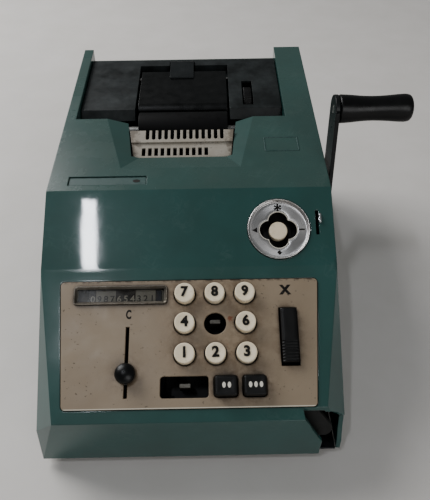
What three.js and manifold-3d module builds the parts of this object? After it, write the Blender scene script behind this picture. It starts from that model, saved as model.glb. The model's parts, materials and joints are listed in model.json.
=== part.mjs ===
import * as THREE from 'three';
import { mergeVertices } from 'three/addons/utils/BufferGeometryUtils.js';
import Module from 'manifold-3d';

// Hand-driven printing calculator, millimetres, +Z up.
// It is drawn with x = 0 midway across the housing (right positive), -y on the keyboard side and z = 0
// at the underside of the base plate. The last lines move the origin to the desk top, midway across
// the whole machine with its crank.

const wasm = await Module();
wasm.setup();
const rad = THREE.MathUtils.degToRad;

// ---- overall sizes -------------------------------------------------------------------------------
const width = 198;
const wall = 3;
const gap = 0.3;
const boardLength = 99;
const boardAngle = rad(27.2);
const bandLength = 56;
const bandAngle = rad(33);
const deckLength = 192;
const deckAngle = rad(6.85);
const frontHeight = 47.8;
const frontLean = 3.2;
const rearLean = 9;
const shellFoot = 0.5;
const half = width / 2;
const bevelFront = half - 15.7;
const waistDrop = 21.1;
const waistBack = 8.5;

// ---- the bent profile, walked from the front bottom edge ------------------------------------------
const spanY = boardLength * Math.cos(boardAngle) + bandLength * Math.cos(bandAngle)
  + deckLength * Math.cos(deckAngle);
const frontY = -spanY / 2;
const foot = { y: frontY + frontLean, z: shellFoot };
const brow = { y: frontY, z: frontHeight };
const crease = {
  y: brow.y + boardLength * Math.cos(boardAngle),
  z: brow.z + boardLength * Math.sin(boardAngle),
};
const ridge = {
  y: crease.y + bandLength * Math.cos(bandAngle),
  z: crease.z + bandLength * Math.sin(bandAngle),
};
const tail = {
  y: ridge.y + deckLength * Math.cos(deckAngle),
  z: ridge.z + deckLength * Math.sin(deckAngle),
};
const heel = { y: tail.y - rearLean, z: shellFoot };
const profile = [foot, brow, crease, ridge, tail, heel].map((p) => [p.y, p.z]);

// ---- keyboard panel --------------------------------------------------------------------------------
const panelTop = 9.2;
const panelBottom = 90.8;
const panelHalfTop = half - 14.3;
const panelHalfBottom = half - 20.8;
const panelThickness = 2;
const panelProud = 0.9;
const panelUnder = panelProud - panelThickness;
const ledge = 3;
const keyPitch = 19.5;
const keyMiddle = 16.7;
const keyDiameter = 13.3;
const firstRow = panelTop + ledge + keyDiameter / 2 + 0.25;
const keyHole = keyDiameter + 1;
const keyProud = 6.6;
const keyTravel = 4;
const capDepth = 9;
const stemWidth = 6.8;
const stemThickness = 2.4;
const zeroHeight = 13.2;
const zeroRow = panelBottom - ledge - zeroHeight / 2 - 3.1;
const rowPitch = (zeroRow - 20 - firstRow) / 2;
const windowAt = { x: -44.7, t: 18.9 };
const windowSize = { x: 58, t: 9.6 };
const bezelBorder = 1.5;
const slotAt = { x: -39.3, from: 40, to: 84.3, width: 2.1 };
const knobAt = 69.8;
const knobDiameter = 13.3;
const sliderHalf = 6;
const multiplyAt = { x: 63.7, from: 29.8, to: 64.4, width: 10.2 };
const guideDepth = 20.5;
const guideThickness = 1.5;
const pointerTop = panelUnder - 0.4;
const pointerThickness = 0.7;
const stripTop = pointerTop - pointerThickness - gap;

// ---- selector dial on the band ---------------------------------------------------------------------
const dialAt = { x: half - 37.7, s: bandLength / 2 - 2 };
const dialRadius = 21.3;
const dialFloor = -2.6;
const lobeRadius = 6.8;
const lobeOffset = 6.1;
const buttonRadius = 6.35;
const buttonTravel = 5.6;
const cupRadius = 18.6;
const leverAt = { x: half - 11.3, from: dialAt.s - 4.6, to: dialAt.s + 12.8, width: 2.2 };

// ---- cover opening, well and printing parts on the deck ----------------------------------------------
const earLeft = 8 - half;
const earRight = half - 23.5;
const openingFront = 84;
const openingRear = deckLength - 9;
const earDrop = 28;
const ledgeDrop = 10;
const coverDrop = 4.5;
const coverThickness = 2;
const coverBend = 102.5;
const coverLipEnd = { s: 96.5, h: -11.6 };
const barrelRadius = 3;
const coverAxis = { s: openingRear - barrelRadius - 1, h: -coverDrop - barrelRadius };
const hingeRod = 1.5;
const bayLeft = -46;
const bayRight = 32;
const bayRear = coverAxis.s - 7.5;
const flapRear = bayRear - 12;
const flapAxis = { s: flapRear - 6.5, h: -8 };
const flapPin = 1.2;
const tabAt = { x0: -19.2, x1: 1.8, front: flapAxis.s - 5.5, rear: coverAxis.s - barrelRadius - 0.6 };
const platenRadius = 14;
const platenAt = { s: openingFront + 6, h: -2 - platenRadius };
const flapFront = platenAt.s + platenRadius + 6;
const platenShaft = 3;
const wheelRadius = 20;
const wheelAt = { s: platenAt.s + 35.5, h: 1 - coverDrop - wheelRadius };
const wheelWidth = 6.8;
const wheelX = 47.8;
const wellFloor = -5;
const spindleAt = { s: flapAxis.s - 3, h: wheelAt.h - wheelRadius - 5 };
const wellOuter = { left: -66, leftFront: -49.5, right: 49.8, rightFront: 37.2, front: 22.9 };
const wellInner = { left: -49.9, leftFront: -43.8, right: 36.3, rightFront: 31.9, front: 40.8 };
const wellWall = 12;
const typePitch = 4.8;

// ---- crank -----------------------------------------------------------------------------------------
const pivot = { y: ridge.y + 15.8, z: 53 };
const eye = { y: pivot.y + 17.5, z: pivot.z + 112 };
const crankShaft = 5;
const armInner = half + 1.7;
const armThickness = 3;
const eyeRadius = 9.75;
const hubRadius = 12;
const gripLength = 50.6;
const studRadius = 3;

// ---- inner frame -----------------------------------------------------------------------------------
const frameAt = earRight - 8.5;
const frameThickness = 2;
const baseThickness = 2;
const footHeight = 6;
const footRadius = 10;
const footInset = 16;
const footAcross = half - 21;

// ---- helpers ---------------------------------------------------------------------------------------
function manifold(geometry) {
  const bare = new THREE.BufferGeometry();
  bare.setAttribute('position', geometry.attributes.position.clone());
  if (geometry.index) bare.setIndex(geometry.index.clone());
  const merged = mergeVertices(bare, 1e-4);
  const mesh = new wasm.Mesh({
    numProp: 3,
    vertProperties: Float32Array.from(merged.attributes.position.array),
    triVerts: Uint32Array.from(merged.index.array),
  });
  return new wasm.Manifold(mesh);
}

function box(x0, x1, y0, y1, z0, z1) {
  const geometry = new THREE.BoxGeometry(x1 - x0, y1 - y0, z1 - z0);
  geometry.translate((x0 + x1) / 2, (y0 + y1) / 2, (z0 + z1) / 2);
  return manifold(geometry);
}

// a rod along x from x0 to x1 round the line (y, z)
function rodX(radius, x0, x1, y, z, sides = 24) {
  const geometry = new THREE.CylinderGeometry(radius, radius, x1 - x0, sides);
  geometry.rotateZ(Math.PI / 2);
  geometry.translate((x0 + x1) / 2, y, z);
  return manifold(geometry);
}

// a rod along the local z from z0 to z1 round the point (x, y)
function rodZ(radius, z0, z1, x, y, sides = 32) {
  const geometry = new THREE.CylinderGeometry(radius, radius, z1 - z0, sides);
  geometry.rotateX(Math.PI / 2);
  geometry.translate(x, y, (z0 + z1) / 2);
  return manifold(geometry);
}

function outline(points) {
  return new THREE.Shape(points.map(([a, b]) => new THREE.Vector2(a, b)));
}

function prism(points, z0, z1) {
  const geometry = new THREE.ExtrudeGeometry(outline(points), { depth: z1 - z0, bevelEnabled: false });
  geometry.translate(0, 0, z0);
  return manifold(geometry);
}

// points are (y, z) pairs, the extrusion runs along x
function prismX(points, x0, x1) {
  const geometry = new THREE.ExtrudeGeometry(outline(points), { depth: x1 - x0, bevelEnabled: false });
  geometry.applyMatrix4(new THREE.Matrix4().set(0, 0, 1, x0, 1, 0, 0, 0, 0, 1, 0, 0, 0, 0, 0, 1));
  return manifold(geometry);
}

// corners of a polygon replaced by arcs of the given radius
function rounded(points, radius, steps = 4) {
  const out = [];
  points.forEach((p, i) => {
    const before = new THREE.Vector2(...points.at(i - 1));
    const at = new THREE.Vector2(...p);
    const after = new THREE.Vector2(...points[(i + 1) % points.length]);
    const a = before.clone().sub(at).normalize();
    const b = after.clone().sub(at).normalize();
    const halfTurn = Math.acos(THREE.MathUtils.clamp(a.dot(b), -1, 1)) / 2;
    const reach = radius / Math.tan(halfTurn);
    const start = at.clone().addScaledVector(a, reach);
    const end = at.clone().addScaledVector(b, reach);
    const middle = at.clone().addScaledVector(a.clone().add(b).normalize(), radius / Math.sin(halfTurn));
    const from = Math.atan2(start.y - middle.y, start.x - middle.x);
    let sweep = Math.atan2(end.y - middle.y, end.x - middle.x) - from;
    if (sweep > Math.PI) sweep -= 2 * Math.PI;
    if (sweep < -Math.PI) sweep += 2 * Math.PI;
    for (let k = 0; k <= steps; k += 1) {
      const turn = from + (sweep * k) / steps;
      out.push([middle.x + radius * Math.cos(turn), middle.y + radius * Math.sin(turn)]);
    }
  });
  return out;
}

function rectangle(x0, x1, y0, y1) {
  return [[x0, y0], [x1, y0], [x1, y1], [x0, y1]];
}

// each edge of a clockwise polygon moved inward by its own distance
function inset(points, distances) {
  const lines = points.map((p, i) => {
    const q = points[(i + 1) % points.length];
    const length = Math.hypot(q[0] - p[0], q[1] - p[1]);
    const along = [(q[0] - p[0]) / length, (q[1] - p[1]) / length];
    const inward = [along[1], -along[0]];
    return { at: [p[0] + inward[0] * distances[i], p[1] + inward[1] * distances[i]], along };
  });
  return lines.map((line, i) => {
    const before = lines.at(i - 1);
    const cross = before.along[0] * line.along[1] - before.along[1] * line.along[0];
    const dx = line.at[0] - before.at[0];
    const dy = line.at[1] - before.at[1];
    const reach = (dx * line.along[1] - dy * line.along[0]) / cross;
    return [before.at[0] + before.along[0] * reach, before.at[1] + before.along[1] * reach];
  });
}

// a large block whose face lies in the plane of three points, on the side of `outside`
function beyond(a, b, c, outside, shift = 0) {
  const size = 500;
  const normal = b.clone().sub(a).cross(c.clone().sub(a)).normalize();
  if (normal.dot(outside.clone().sub(a)) < 0) normal.negate();
  const geometry = new THREE.BoxGeometry(size, size, size);
  geometry.translate(0, 0, size / 2 - shift);
  geometry.applyQuaternion(new THREE.Quaternion().setFromUnitVectors(new THREE.Vector3(0, 0, 1), normal));
  geometry.translate(a.x, a.y, a.z);
  return manifold(geometry);
}

function union(pieces) {
  return pieces.reduce((sum, piece) => sum.add(piece));
}

function frame(name, parent, y, z, angle) {
  const group = new THREE.Group();
  group.name = name;
  group.position.set(0, y, z);
  group.rotation.x = angle;
  parent.add(group);
  group.updateWorldMatrix(true, false);
  return group;
}

function inFrame(solid, group) {
  return solid.transform(group.matrixWorld.elements);
}

function material(color, roughness, metalness = 0) {
  return new THREE.MeshStandardMaterial({ color, roughness, metalness });
}

function piece(parent, name, solid, look) {
  const result = solid.getMesh();
  const geometry = new THREE.BufferGeometry();
  geometry.setAttribute('position', new THREE.BufferAttribute(Float32Array.from(result.vertProperties), 3));
  geometry.setIndex(new THREE.BufferAttribute(Uint32Array.from(result.triVerts), 1));
  geometry.computeVertexNormals();
  const mesh = new THREE.Mesh(geometry, look);
  mesh.name = name;
  parent.add(mesh);
}

// ---- looks -----------------------------------------------------------------------------------------
const shellPlastic = material(0x1f4a47, 0.3);
const blackPlastic = material(0x15171a, 0.4);
const greyPlastic = material(0x3a3d3d, 0.5);
const creamPlastic = material(0xb8ab96, 0.45);
const paint = material(0x8a8070, 0.5, 0.1);
const aluminium = material(0xb9bcbc, 0.35, 0.9);
const steel = material(0x8b8d8e, 0.4, 0.9);
const darkSteel = material(0x4b4d4f, 0.5, 0.8);
const rubber = material(0x17181b, 0.7);
const lensPlastic = material(0xcfd4d2, 0.08);

// ---- frames ----------------------------------------------------------------------------------------
const machine = new THREE.Group();
machine.name = 'calculator';
const board = frame('board', machine, crease.y, crease.z, boardAngle);
const band = frame('band', machine, crease.y, crease.z, bandAngle);
const deck = frame('deck', machine, ridge.y, ridge.z, deckAngle);
const digitAt = (column, row) => ({
  x: keyMiddle + (column - 1) * keyPitch,
  t: firstRow + row * rowPitch,
});

// ---- housing shell ---------------------------------------------------------------------------------
function hull(thickness) {
  const skin = [thickness, thickness, thickness, thickness, thickness, thickness ? -2 : 0];
  const side = half - thickness;
  let solid = prismX(inset(profile, skin), -side, side);
  for (const hand of [-1, 1]) {
    const top = new THREE.Vector3(hand * half, crease.y, crease.z);
    const front = new THREE.Vector3(hand * bevelFront, brow.y, brow.z);
    const waist = new THREE.Vector3(hand * half, brow.y + waistBack, brow.z - waistDrop);
    const low = new THREE.Vector3(hand * half, foot.y, foot.z);
    const outside = new THREE.Vector3(hand * 2 * half, brow.y - half, brow.z);
    solid = solid.subtract(beyond(top, front, waist, outside.clone().setZ(4 * half), thickness));
    solid = solid.subtract(beyond(front, waist, low, outside, thickness));
  }
  return solid;
}

const panelOutline = [
  [-panelHalfBottom, -panelBottom], [panelHalfBottom, -panelBottom],
  [panelHalfTop, -panelTop], [-panelHalfTop, -panelTop],
];
const grow = (points, by) => inset([...points].reverse(), points.map(() => -by)).reverse();
const recess = prism(rounded(grow(panelOutline, 0.5), 3), panelUnder - gap, 10);
const boardOpening = prism(rounded(grow(panelOutline, -ledge), 2), -20, 10);

const dialBoss = rodZ(dialRadius + 3, -7, -1, dialAt.x, dialAt.s, 40);
const dialSeat = rodZ(dialRadius + 0.4, -4.2, 20, dialAt.x, dialAt.s, 40);
const dialHole = rodZ(cupRadius + 0.4, -20, 20, dialAt.x, dialAt.s, 40);
const leverSlot = box(
  leverAt.x - leverAt.width / 2, leverAt.x + leverAt.width / 2, leverAt.from, leverAt.to, -20, 10,
);

const wellBlock = box(wellOuter.leftFront - 11, wellOuter.rightFront + 9, 18, openingFront, -wellWall, -1);
const deckPoint = (x, s, h) => new THREE.Vector3(x, s, h);
const above = deckPoint(0, 100, 200);
const flatCorners = rectangle(wellOuter.left, wellOuter.right, wellOuter.front, openingFront + 3);
const wellFacets = [
  [
    deckPoint(wellOuter.left, openingFront, 0), deckPoint(wellOuter.leftFront, wellOuter.front, 0),
    deckPoint(wellInner.left, openingFront, wellFloor),
  ],
  [
    deckPoint(wellOuter.right, openingFront, 0), deckPoint(wellOuter.rightFront, wellOuter.front, 0),
    deckPoint(wellInner.right, openingFront, wellFloor),
  ],
  [
    deckPoint(wellOuter.leftFront, wellOuter.front, 0), deckPoint(wellOuter.rightFront, wellOuter.front, 0),
    deckPoint(0, wellInner.front, wellFloor),
  ],
].map(([a, b, c]) => beyond(a, b, c, above)).reduce((sum, side) => sum.intersect(side));
const wellDish = prism(flatCorners, -40, 10).intersect(wellFacets);
const wellShaft = prism([
  [wellInner.leftFront, wellInner.front], [wellInner.rightFront, wellInner.front],
  [wellInner.right, openingFront + 1], [wellInner.left, openingFront + 1],
], -40, 10);
const coverOpening = box(earLeft, earRight, openingFront, openingRear, -4 * wall, 20);
const rearOpening = box(earLeft, earRight, openingRear - 5, deckLength + 20, -ledgeDrop, 20);
const earWalls = box(-half + wall - 0.5, earLeft, openingFront - wall, deckLength - 2, -earDrop, -1)
  .add(box(earRight, earRight + wall, openingFront - wall, deckLength - 2, -earDrop, -1));
const frontLip = box(earLeft - 1, earRight + 1, openingFront - wall, openingFront, -8, -1);
const rearLedge = box(earLeft - 1, earRight + 1, openingRear, deckLength - 2, -ledgeDrop - wall, -ledgeDrop);
const rodSeat = rodX(hingeRod + gap, -94.3, earRight + 2 * wall, coverAxis.s, coverAxis.h);
const plateRecess = box(-85.2, -30, 5.6, 14.6, -1.5, 10);

// the corner that has been knocked off at the lower right of the front
const chipFront = [
  [67, 60], [70.5, 47], [74, 40], [76.5, 33.5], [82, 22], [87, 14], [91.5, 9], [94, 4], [94.5, -2],
  [110, -2], [110, 60],
];
const chip = prism(chipFront, 0, 11);
const chipDepth = new THREE.Matrix4().set(1, 0, 0, 0, 0, 0, -1, frontY + 6.6, 0, 1, 0, 0, 0, 0, 0, 1);
const chipSide = prismX([
  [frontY - 5, 60], [frontY + 7, 46], [frontY + 11, 38], [frontY + 14.5, 28], [frontY + 12, 18],
  [frontY + 8, 9], [frontY + 7, -2], [frontY - 5, -2],
], 84, half + 5);

let shell = hull(0).subtract(hull(wall));
shell = union([
  shell, inFrame(dialBoss, band), inFrame(wellBlock, deck), inFrame(earWalls, deck),
  inFrame(frontLip, deck), inFrame(rearLedge, deck),
]).intersect(hull(0));
for (const [cutter, group] of [
  [recess, board], [boardOpening, board], [dialSeat, band], [dialHole, band], [leverSlot, band],
  [wellDish, deck], [wellShaft, deck], [coverOpening, deck], [rearOpening, deck], [rodSeat, deck],
  [plateRecess, deck],
]) shell = shell.subtract(inFrame(cutter, group));
const bushingRadius = crankShaft + 3.7;
shell = shell
  .subtract(rodX(bushingRadius + gap, half - 5, half + 5, pivot.y, pivot.z))
  .subtract(chip.transform(chipDepth.elements))
  .subtract(chipSide);
piece(machine, 'housing_shell', shell, shellPlastic);

// ---- base and feet ---------------------------------------------------------------------------------
const baseHalf = half - wall - 0.4;
const baseFront = foot.y + wall + 0.6;
const baseRear = heel.y - wall - 0.6;
piece(machine, 'base_plate', box(-baseHalf, baseHalf, baseFront, baseRear, 0, baseThickness), darkSteel);
for (const [name, x, y] of [
  ['foot_front_left', -footAcross, baseFront + footInset],
  ['foot_front_right', footAcross, baseFront + footInset],
  ['foot_rear_left', -footAcross, baseRear - footInset],
  ['foot_rear_right', footAcross, baseRear - footInset],
]) piece(machine, name, rodZ(footRadius, -footHeight, -gap, x, y, 24), rubber);

// ---- side frames, rods and the parts they carry --------------------------------------------------------
function onDeck(s, h) {
  const p = new THREE.Vector3(0, s, h).applyMatrix4(deck.matrixWorld);
  return { y: p.y, z: p.z };
}
const floor = baseThickness + gap;
const frameFront = crease.y + 16.8;
const frameRear = tail.y - 14.8;
const frameTopFront = onDeck(14, -13.5);
const frameTopRear = onDeck(coverAxis.s - 7, -17);
const platenWorld = onDeck(platenAt.s, platenAt.h);
const wheelWorld = onDeck(wheelAt.s, wheelAt.h);
const spindleWorld = onDeck(spindleAt.s, spindleAt.h);
const rods = {
  tie_rod: { y: tail.y - 33, z: 26, r: 3 },
  carriage_rail: { y: crease.y + 32.8, z: 40, r: 3 },
  register_shaft: { y: ridge.y + 47.8, z: 62, r: 3 },
};
const frameOutline = [
  [frameFront, floor], [frameRear, floor], [frameRear, frameTopRear.z - 2],
  [frameTopRear.y, frameTopRear.z], [frameTopFront.y, frameTopFront.z], [frameTopFront.y, 74],
  [frameFront, 74],
];
const rodEnd = frameAt + frameThickness + 3;
for (const [name, x0] of [['side_frame_left', -frameAt - frameThickness], ['side_frame_right', frameAt]]) {
  let plate = prismX(frameOutline, x0, x0 + frameThickness);
  for (const rod of Object.values(rods)) {
    plate = plate.subtract(rodX(rod.r + gap, x0 - 1, x0 + 3, rod.y, rod.z));
  }
  plate = plate.subtract(rodX(platenShaft + gap, x0 - 1, x0 + 3, platenWorld.y, platenWorld.z));
  plate = plate.subtract(rodX(3 + gap, x0 - 1, x0 + 3, spindleWorld.y, spindleWorld.z));
  if (x0 > 0) {
    plate = plate.subtract(rodX(crankShaft + gap, x0 - 1, x0 + 3, pivot.y, pivot.z));
    plate = plate.subtract(rodX(2.5 + gap, x0 - 1, x0 + 3, wheelWorld.y, wheelWorld.z));
  }
  piece(machine, name, plate, darkSteel);
}
for (const [name, rod] of Object.entries(rods)) {
  piece(machine, name, rodX(rod.r, -rodEnd, rodEnd, rod.y, rod.z, 16), steel);
}

// number wheels: twelve discs on one shaft
const wheelProfile = [];
const discCount = 12;
const discPitch = 5;
for (let i = 0; i < discCount; i += 1) {
  const x = -33 + i * discPitch;
  wheelProfile.push([12, x], [12, x + 3.2], [9, x + 3.2], [9, x + discPitch]);
}
wheelProfile[wheelProfile.length - 1][1] = -33 + discCount * discPitch - 1;
const lathePoints = [
  [3.3, -33], ...wheelProfile, [3.3, -33 + discCount * discPitch - 1], [3.3, -33],
].map(([r, x]) => new THREE.Vector2(r, x));
const wheels = new THREE.LatheGeometry(lathePoints, 18);
wheels.rotateZ(-Math.PI / 2);
wheels.translate(0, rods.register_shaft.y, rods.register_shaft.z);
piece(machine, 'register_wheels', manifold(wheels), steel);

// pin carriage with the pointer that shows behind the counter window
const pointer = { x: -20, half: 1.7 };
const rail = rods.carriage_rail;
const carriage = box(-4, 46, frameFront, frameFront + 31, rail.z - 7, rail.z + 18)
  .subtract(rodX(rail.r + gap, -10, 50, rail.y, rail.z));
const legBack = windowAt.t + windowSize.t / 2 + 2.4;
const boardPoint = (t, h) => {
  const p = new THREE.Vector3(0, -t, h).applyMatrix4(board.matrixWorld);
  return [p.y, p.z];
};
const bladeUnder = pointerTop - pointerThickness;
const pointerBlade = prismX([
  boardPoint(15, pointerTop), boardPoint(legBack, pointerTop), boardPoint(legBack, -16.5),
  [frameFront - 0.5, rail.z + 10], [frameFront + 8, rail.z + 10], [frameFront + 8, rail.z + 17.5],
  [frameFront - 0.5, rail.z + 17.5], boardPoint(legBack - 1.5, -13),
  boardPoint(legBack - 1.5, bladeUnder), boardPoint(15, bladeUnder),
], pointer.x - pointer.half, pointer.x + pointer.half);
const bridge = box(
  pointer.x - pointer.half, 0, frameFront + 1, frameFront + 8, rail.z + 10.5, rail.z + 17,
);
piece(machine, 'pin_carriage', union([carriage, pointerBlade, bridge]), darkSteel);

// ---- keyboard --------------------------------------------------------------------------------------
const keys = [];
const digits = [[7, 8, 9], [4, 5, 6], [1, 2, 3]];
digits.forEach((line, row) => line.forEach((digit, column) => {
  const bare = digit === 5;
  keys.push({ name: `key_${digit}`, ...digitAt(column, row), round: true, bare, stemUp: bare ? 2.8 : 0 });
}));
keys.push({ name: 'key_0', x: -3, t: zeroRow, w: 30, bare: true, stemUp: 1.6 });
keys.push({ name: 'key_double_zero', x: 22.65, t: zeroRow, w: 14.9, stemUp: 0 });
keys.push({ name: 'key_triple_zero', x: 40.45, t: zeroRow, w: 14.9, stemUp: 0 });

let panel = prism(rounded(panelOutline, 2.5), panelUnder, panelProud);
let guide = box(-16, 80, -93, -9, -guideDepth - guideThickness, -guideDepth);
for (const key of keys) {
  const hole = key.round
    ? rodZ(keyHole / 2, -5, 5, key.x, -key.t)
    : prism(rounded(rectangle(
      key.x - key.w / 2, key.x + key.w / 2, -key.t - zeroHeight / 2, -key.t + zeroHeight / 2,
    ), 2), -5, 5);
  panel = panel.subtract(hole);
  guide = guide.subtract(box(
    key.x - stemWidth / 2 - gap, key.x + stemWidth / 2 + gap,
    key.stemUp - key.t - stemThickness / 2 - gap, key.stemUp - key.t + stemThickness / 2 + gap, -30, 0,
  ));
}
const windowHole = rectangle(
  windowAt.x - windowSize.x / 2, windowAt.x + windowSize.x / 2,
  -windowAt.t - windowSize.t / 2, -windowAt.t + windowSize.t / 2,
);
panel = panel
  .subtract(prism(windowHole, -5, 5))
  .subtract(box(
    slotAt.x - slotAt.width / 2, slotAt.x + slotAt.width / 2, -slotAt.to, -slotAt.from, -5, 5,
  ))
  .subtract(box(
    multiplyAt.x - multiplyAt.width / 2 - 0.7, multiplyAt.x + multiplyAt.width / 2 + 0.7,
    -multiplyAt.to - 1.8, -multiplyAt.from + 0.8, -5, 5,
  ));
piece(board, 'keyboard_panel', panel, paint);

for (const [x, drop] of [[-13, 62], [77, 62], [-13, 9], [77, 9]]) {
  const y = crease.y - drop;
  const [, top] = boardPoint(drop / Math.cos(boardAngle) + 10.5, -guideDepth - 0.5);
  const post = box(x - 2.5, x + 2.5, y - 2.5, y + 2.5, floor, top);
  guide = guide.add(post.transform(board.matrixWorld.clone().invert().elements));
}
piece(board, 'key_guide_plate', guide, darkSteel);

for (const key of keys) {
  const stemTop = key.bare ? -6 : 1 - capDepth;
  const stem = box(
    key.x - stemWidth / 2, key.x + stemWidth / 2,
    key.stemUp - key.t - stemThickness / 2, key.stemUp - key.t + stemThickness / 2, -30, stemTop,
  );
  if (key.bare) {
    piece(board, key.name.replace('key', 'stem'), stem, steel);
    continue;
  }
  const cap = key.round
    ? rodZ(keyDiameter / 2, -capDepth, keyProud, key.x, -key.t)
    : prism(rounded(rectangle(
      key.x - key.w / 2 + 0.4, key.x + key.w / 2 - 0.4,
      -key.t - zeroHeight / 2 + 0.4, -key.t + zeroHeight / 2 - 0.4,
    ), 1.8), -capDepth, keyProud);
  piece(board, key.name, cap.add(stem), key.round ? creamPlastic : blackPlastic);
}

const multiplyKey = box(
  multiplyAt.x - multiplyAt.width / 2, multiplyAt.x + multiplyAt.width / 2,
  -multiplyAt.to, -multiplyAt.from, -4, 5,
);
piece(board, 'multiply_key', multiplyKey, blackPlastic);

const bezel = prism(rounded(grow(windowHole, bezelBorder), 1.5), panelProud + gap, panelProud + gap + 1.2)
  .subtract(prism(grow(windowHole, -0.7), 0, 5));
piece(board, 'counter_bezel', bezel, aluminium);
piece(board, 'counter_lens', prism(grow(windowHole, -gap), -0.6, panelProud), lensPlastic);
const strip = box(
  windowAt.x - windowSize.x / 2 - 1, windowAt.x + windowSize.x / 2 + 1,
  -windowAt.t - windowSize.t / 2 + 0.2, -windowAt.t + windowSize.t / 2 - 0.2, stripTop - 0.9, stripTop,
);
piece(board, 'counter_strip', strip, greyPlastic);

const knobStem = box(slotAt.x - 0.75, slotAt.x + 0.75, -knobAt - 2.5, -knobAt + 2.5, panelUnder - 0.2, 3);
const knob = rodZ(knobDiameter / 2, panelProud + 1, panelProud + 8, slotAt.x, -knobAt, 36);
piece(board, 'clear_knob', knob.add(knobStem), blackPlastic);
const slider = box(
  slotAt.x - 5.5, slotAt.x + 5.5, -knobAt - sliderHalf, -knobAt + sliderHalf, panelUnder - 2.3,
  panelUnder - 0.5,
);
piece(board, 'clear_slider', slider, steel);

// ---- selector --------------------------------------------------------------------------------------
const dishPoints = [
  [0, dialFloor - 1], [dialRadius - 2, dialFloor - 1], [dialRadius, dialFloor - 1], [dialRadius, 0.7],
  [dialRadius - 1.1, 0.9], [dialRadius - 1.9, 0.2], [dialRadius - 2.3, dialFloor], [0, dialFloor],
].map(([r, z]) => new THREE.Vector2(r, z));
const dish = new THREE.LatheGeometry(dishPoints, 48);
dish.rotateX(Math.PI / 2);
dish.translate(dialAt.x, dialAt.s, 0);
const lobes = [[1, 0], [-1, 0], [0, 1], [0, -1]].map(([a, b]) => rodZ(
  lobeRadius, -10, 5, dialAt.x + a * lobeOffset, dialAt.s + b * lobeOffset, 24,
));
const clover = union([...lobes, box(
  dialAt.x - lobeOffset, dialAt.x + lobeOffset, dialAt.s - lobeOffset, dialAt.s + lobeOffset, -10, 5,
)]);
piece(band, 'dial_plate', manifold(dish).subtract(clover), aluminium);
const cupTop = -4.6;
const cup = rodZ(cupRadius, -16, cupTop, dialAt.x, dialAt.s, 32)
  .subtract(rodZ(cupRadius - 1.2, -15, 0, dialAt.x, dialAt.s, 32));
piece(band, 'dial_well', cup, blackPlastic);
const crossSlide = box(dialAt.x - 10, dialAt.x + 10, dialAt.s - 4.5, dialAt.s + 4.5, -14.6, -12.8);
piece(band, 'selector_cross_slide', crossSlide, blackPlastic);
const button = rodZ(buttonRadius, -9.5, cupTop + 0.4, dialAt.x, dialAt.s)
  .add(rodZ(3, -12.5, -9, dialAt.x, dialAt.s, 20));
piece(band, 'selector_button', button, creamPlastic);
const leverFrom = 29.5;
const leverTo = 36.3;
const lever = box(leverAt.x - 0.6, leverAt.x + 0.6, leverFrom, leverTo, -8, 1.8)
  .add(box(leverAt.x - 0.6, leverAt.x + 2.9, leverFrom, leverTo, 0.6, 1.8));
piece(band, 'mode_lever', lever, aluminium);

// ---- cover, flap and platen ------------------------------------------------------------------------
const coverTop = -coverDrop;
const coverUnder = coverTop - coverThickness;
const coverProfile = [
  [coverBend, coverTop], [coverLipEnd.s, coverLipEnd.h], [coverLipEnd.s + 1.5, coverLipEnd.h - 1.3],
  [coverBend + 1, coverUnder], [coverAxis.s, coverUnder], [coverAxis.s, coverTop],
];
const coverLeft = earLeft + 0.5;
const coverRight = earRight - 0.5;
const bayFloor = -13.5;
const bayPan = [
  [bayRear - 1.5, coverTop], [bayRear, coverTop], [bayRear, bayFloor], [flapRear + 1, bayFloor],
  [flapRear + 1, bayFloor + 1.5], [bayRear - 1.5, bayFloor + 1.5],
];
const lugs = [[bayLeft - 2.5, bayLeft], [bayRight, bayRight + 2.5]].map(([x0, x1]) => box(
  x0, x1, flapAxis.s - 4, flapAxis.s + 4, flapAxis.h - 3.2, coverUnder + 0.5,
));
const panWalls = [[bayLeft - 1.5, bayLeft], [bayRight, bayRight + 1.5]].map(([x0, x1]) => box(
  x0, x1, flapRear + 1, bayRear, bayFloor, coverUnder + 0.5,
));
let cover = union([
  prismX(coverProfile, coverLeft, bayLeft),
  prismX(coverProfile, bayRight, coverRight),
  box(coverLeft, coverRight, bayRear - 1.5, coverAxis.s, coverUnder, coverTop),
  rodX(barrelRadius, coverLeft, coverRight, coverAxis.s, coverAxis.h),
  prismX(bayPan, bayLeft - 0.5, bayRight + 0.5),
  ...lugs, ...panWalls,
]);
cover = cover
  .subtract(rodX(hingeRod + gap, coverLeft - 1, coverRight + 1, coverAxis.s, coverAxis.h))
  .subtract(rodX(flapPin + gap, bayLeft - 4, bayRight + 4, flapAxis.s, flapAxis.h))
  .subtract(box(tabAt.x0 - 0.8, tabAt.x1 + 0.8, bayRear - 3, coverAxis.s - barrelRadius, bayFloor + 1.5, 0))
  .subtract(box(
    wheelX - wheelWidth / 2 - 1, wheelX + wheelWidth / 2 + 1, wheelAt.s - 18, wheelAt.s + 17.5, -20, 0,
  ));
piece(deck, 'roll_cover', cover, blackPlastic);
piece(
  deck, 'cover_hinge_rod',
  rodX(hingeRod, -94, earRight + 1.5, coverAxis.s, coverAxis.h, 16), steel,
);

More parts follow.
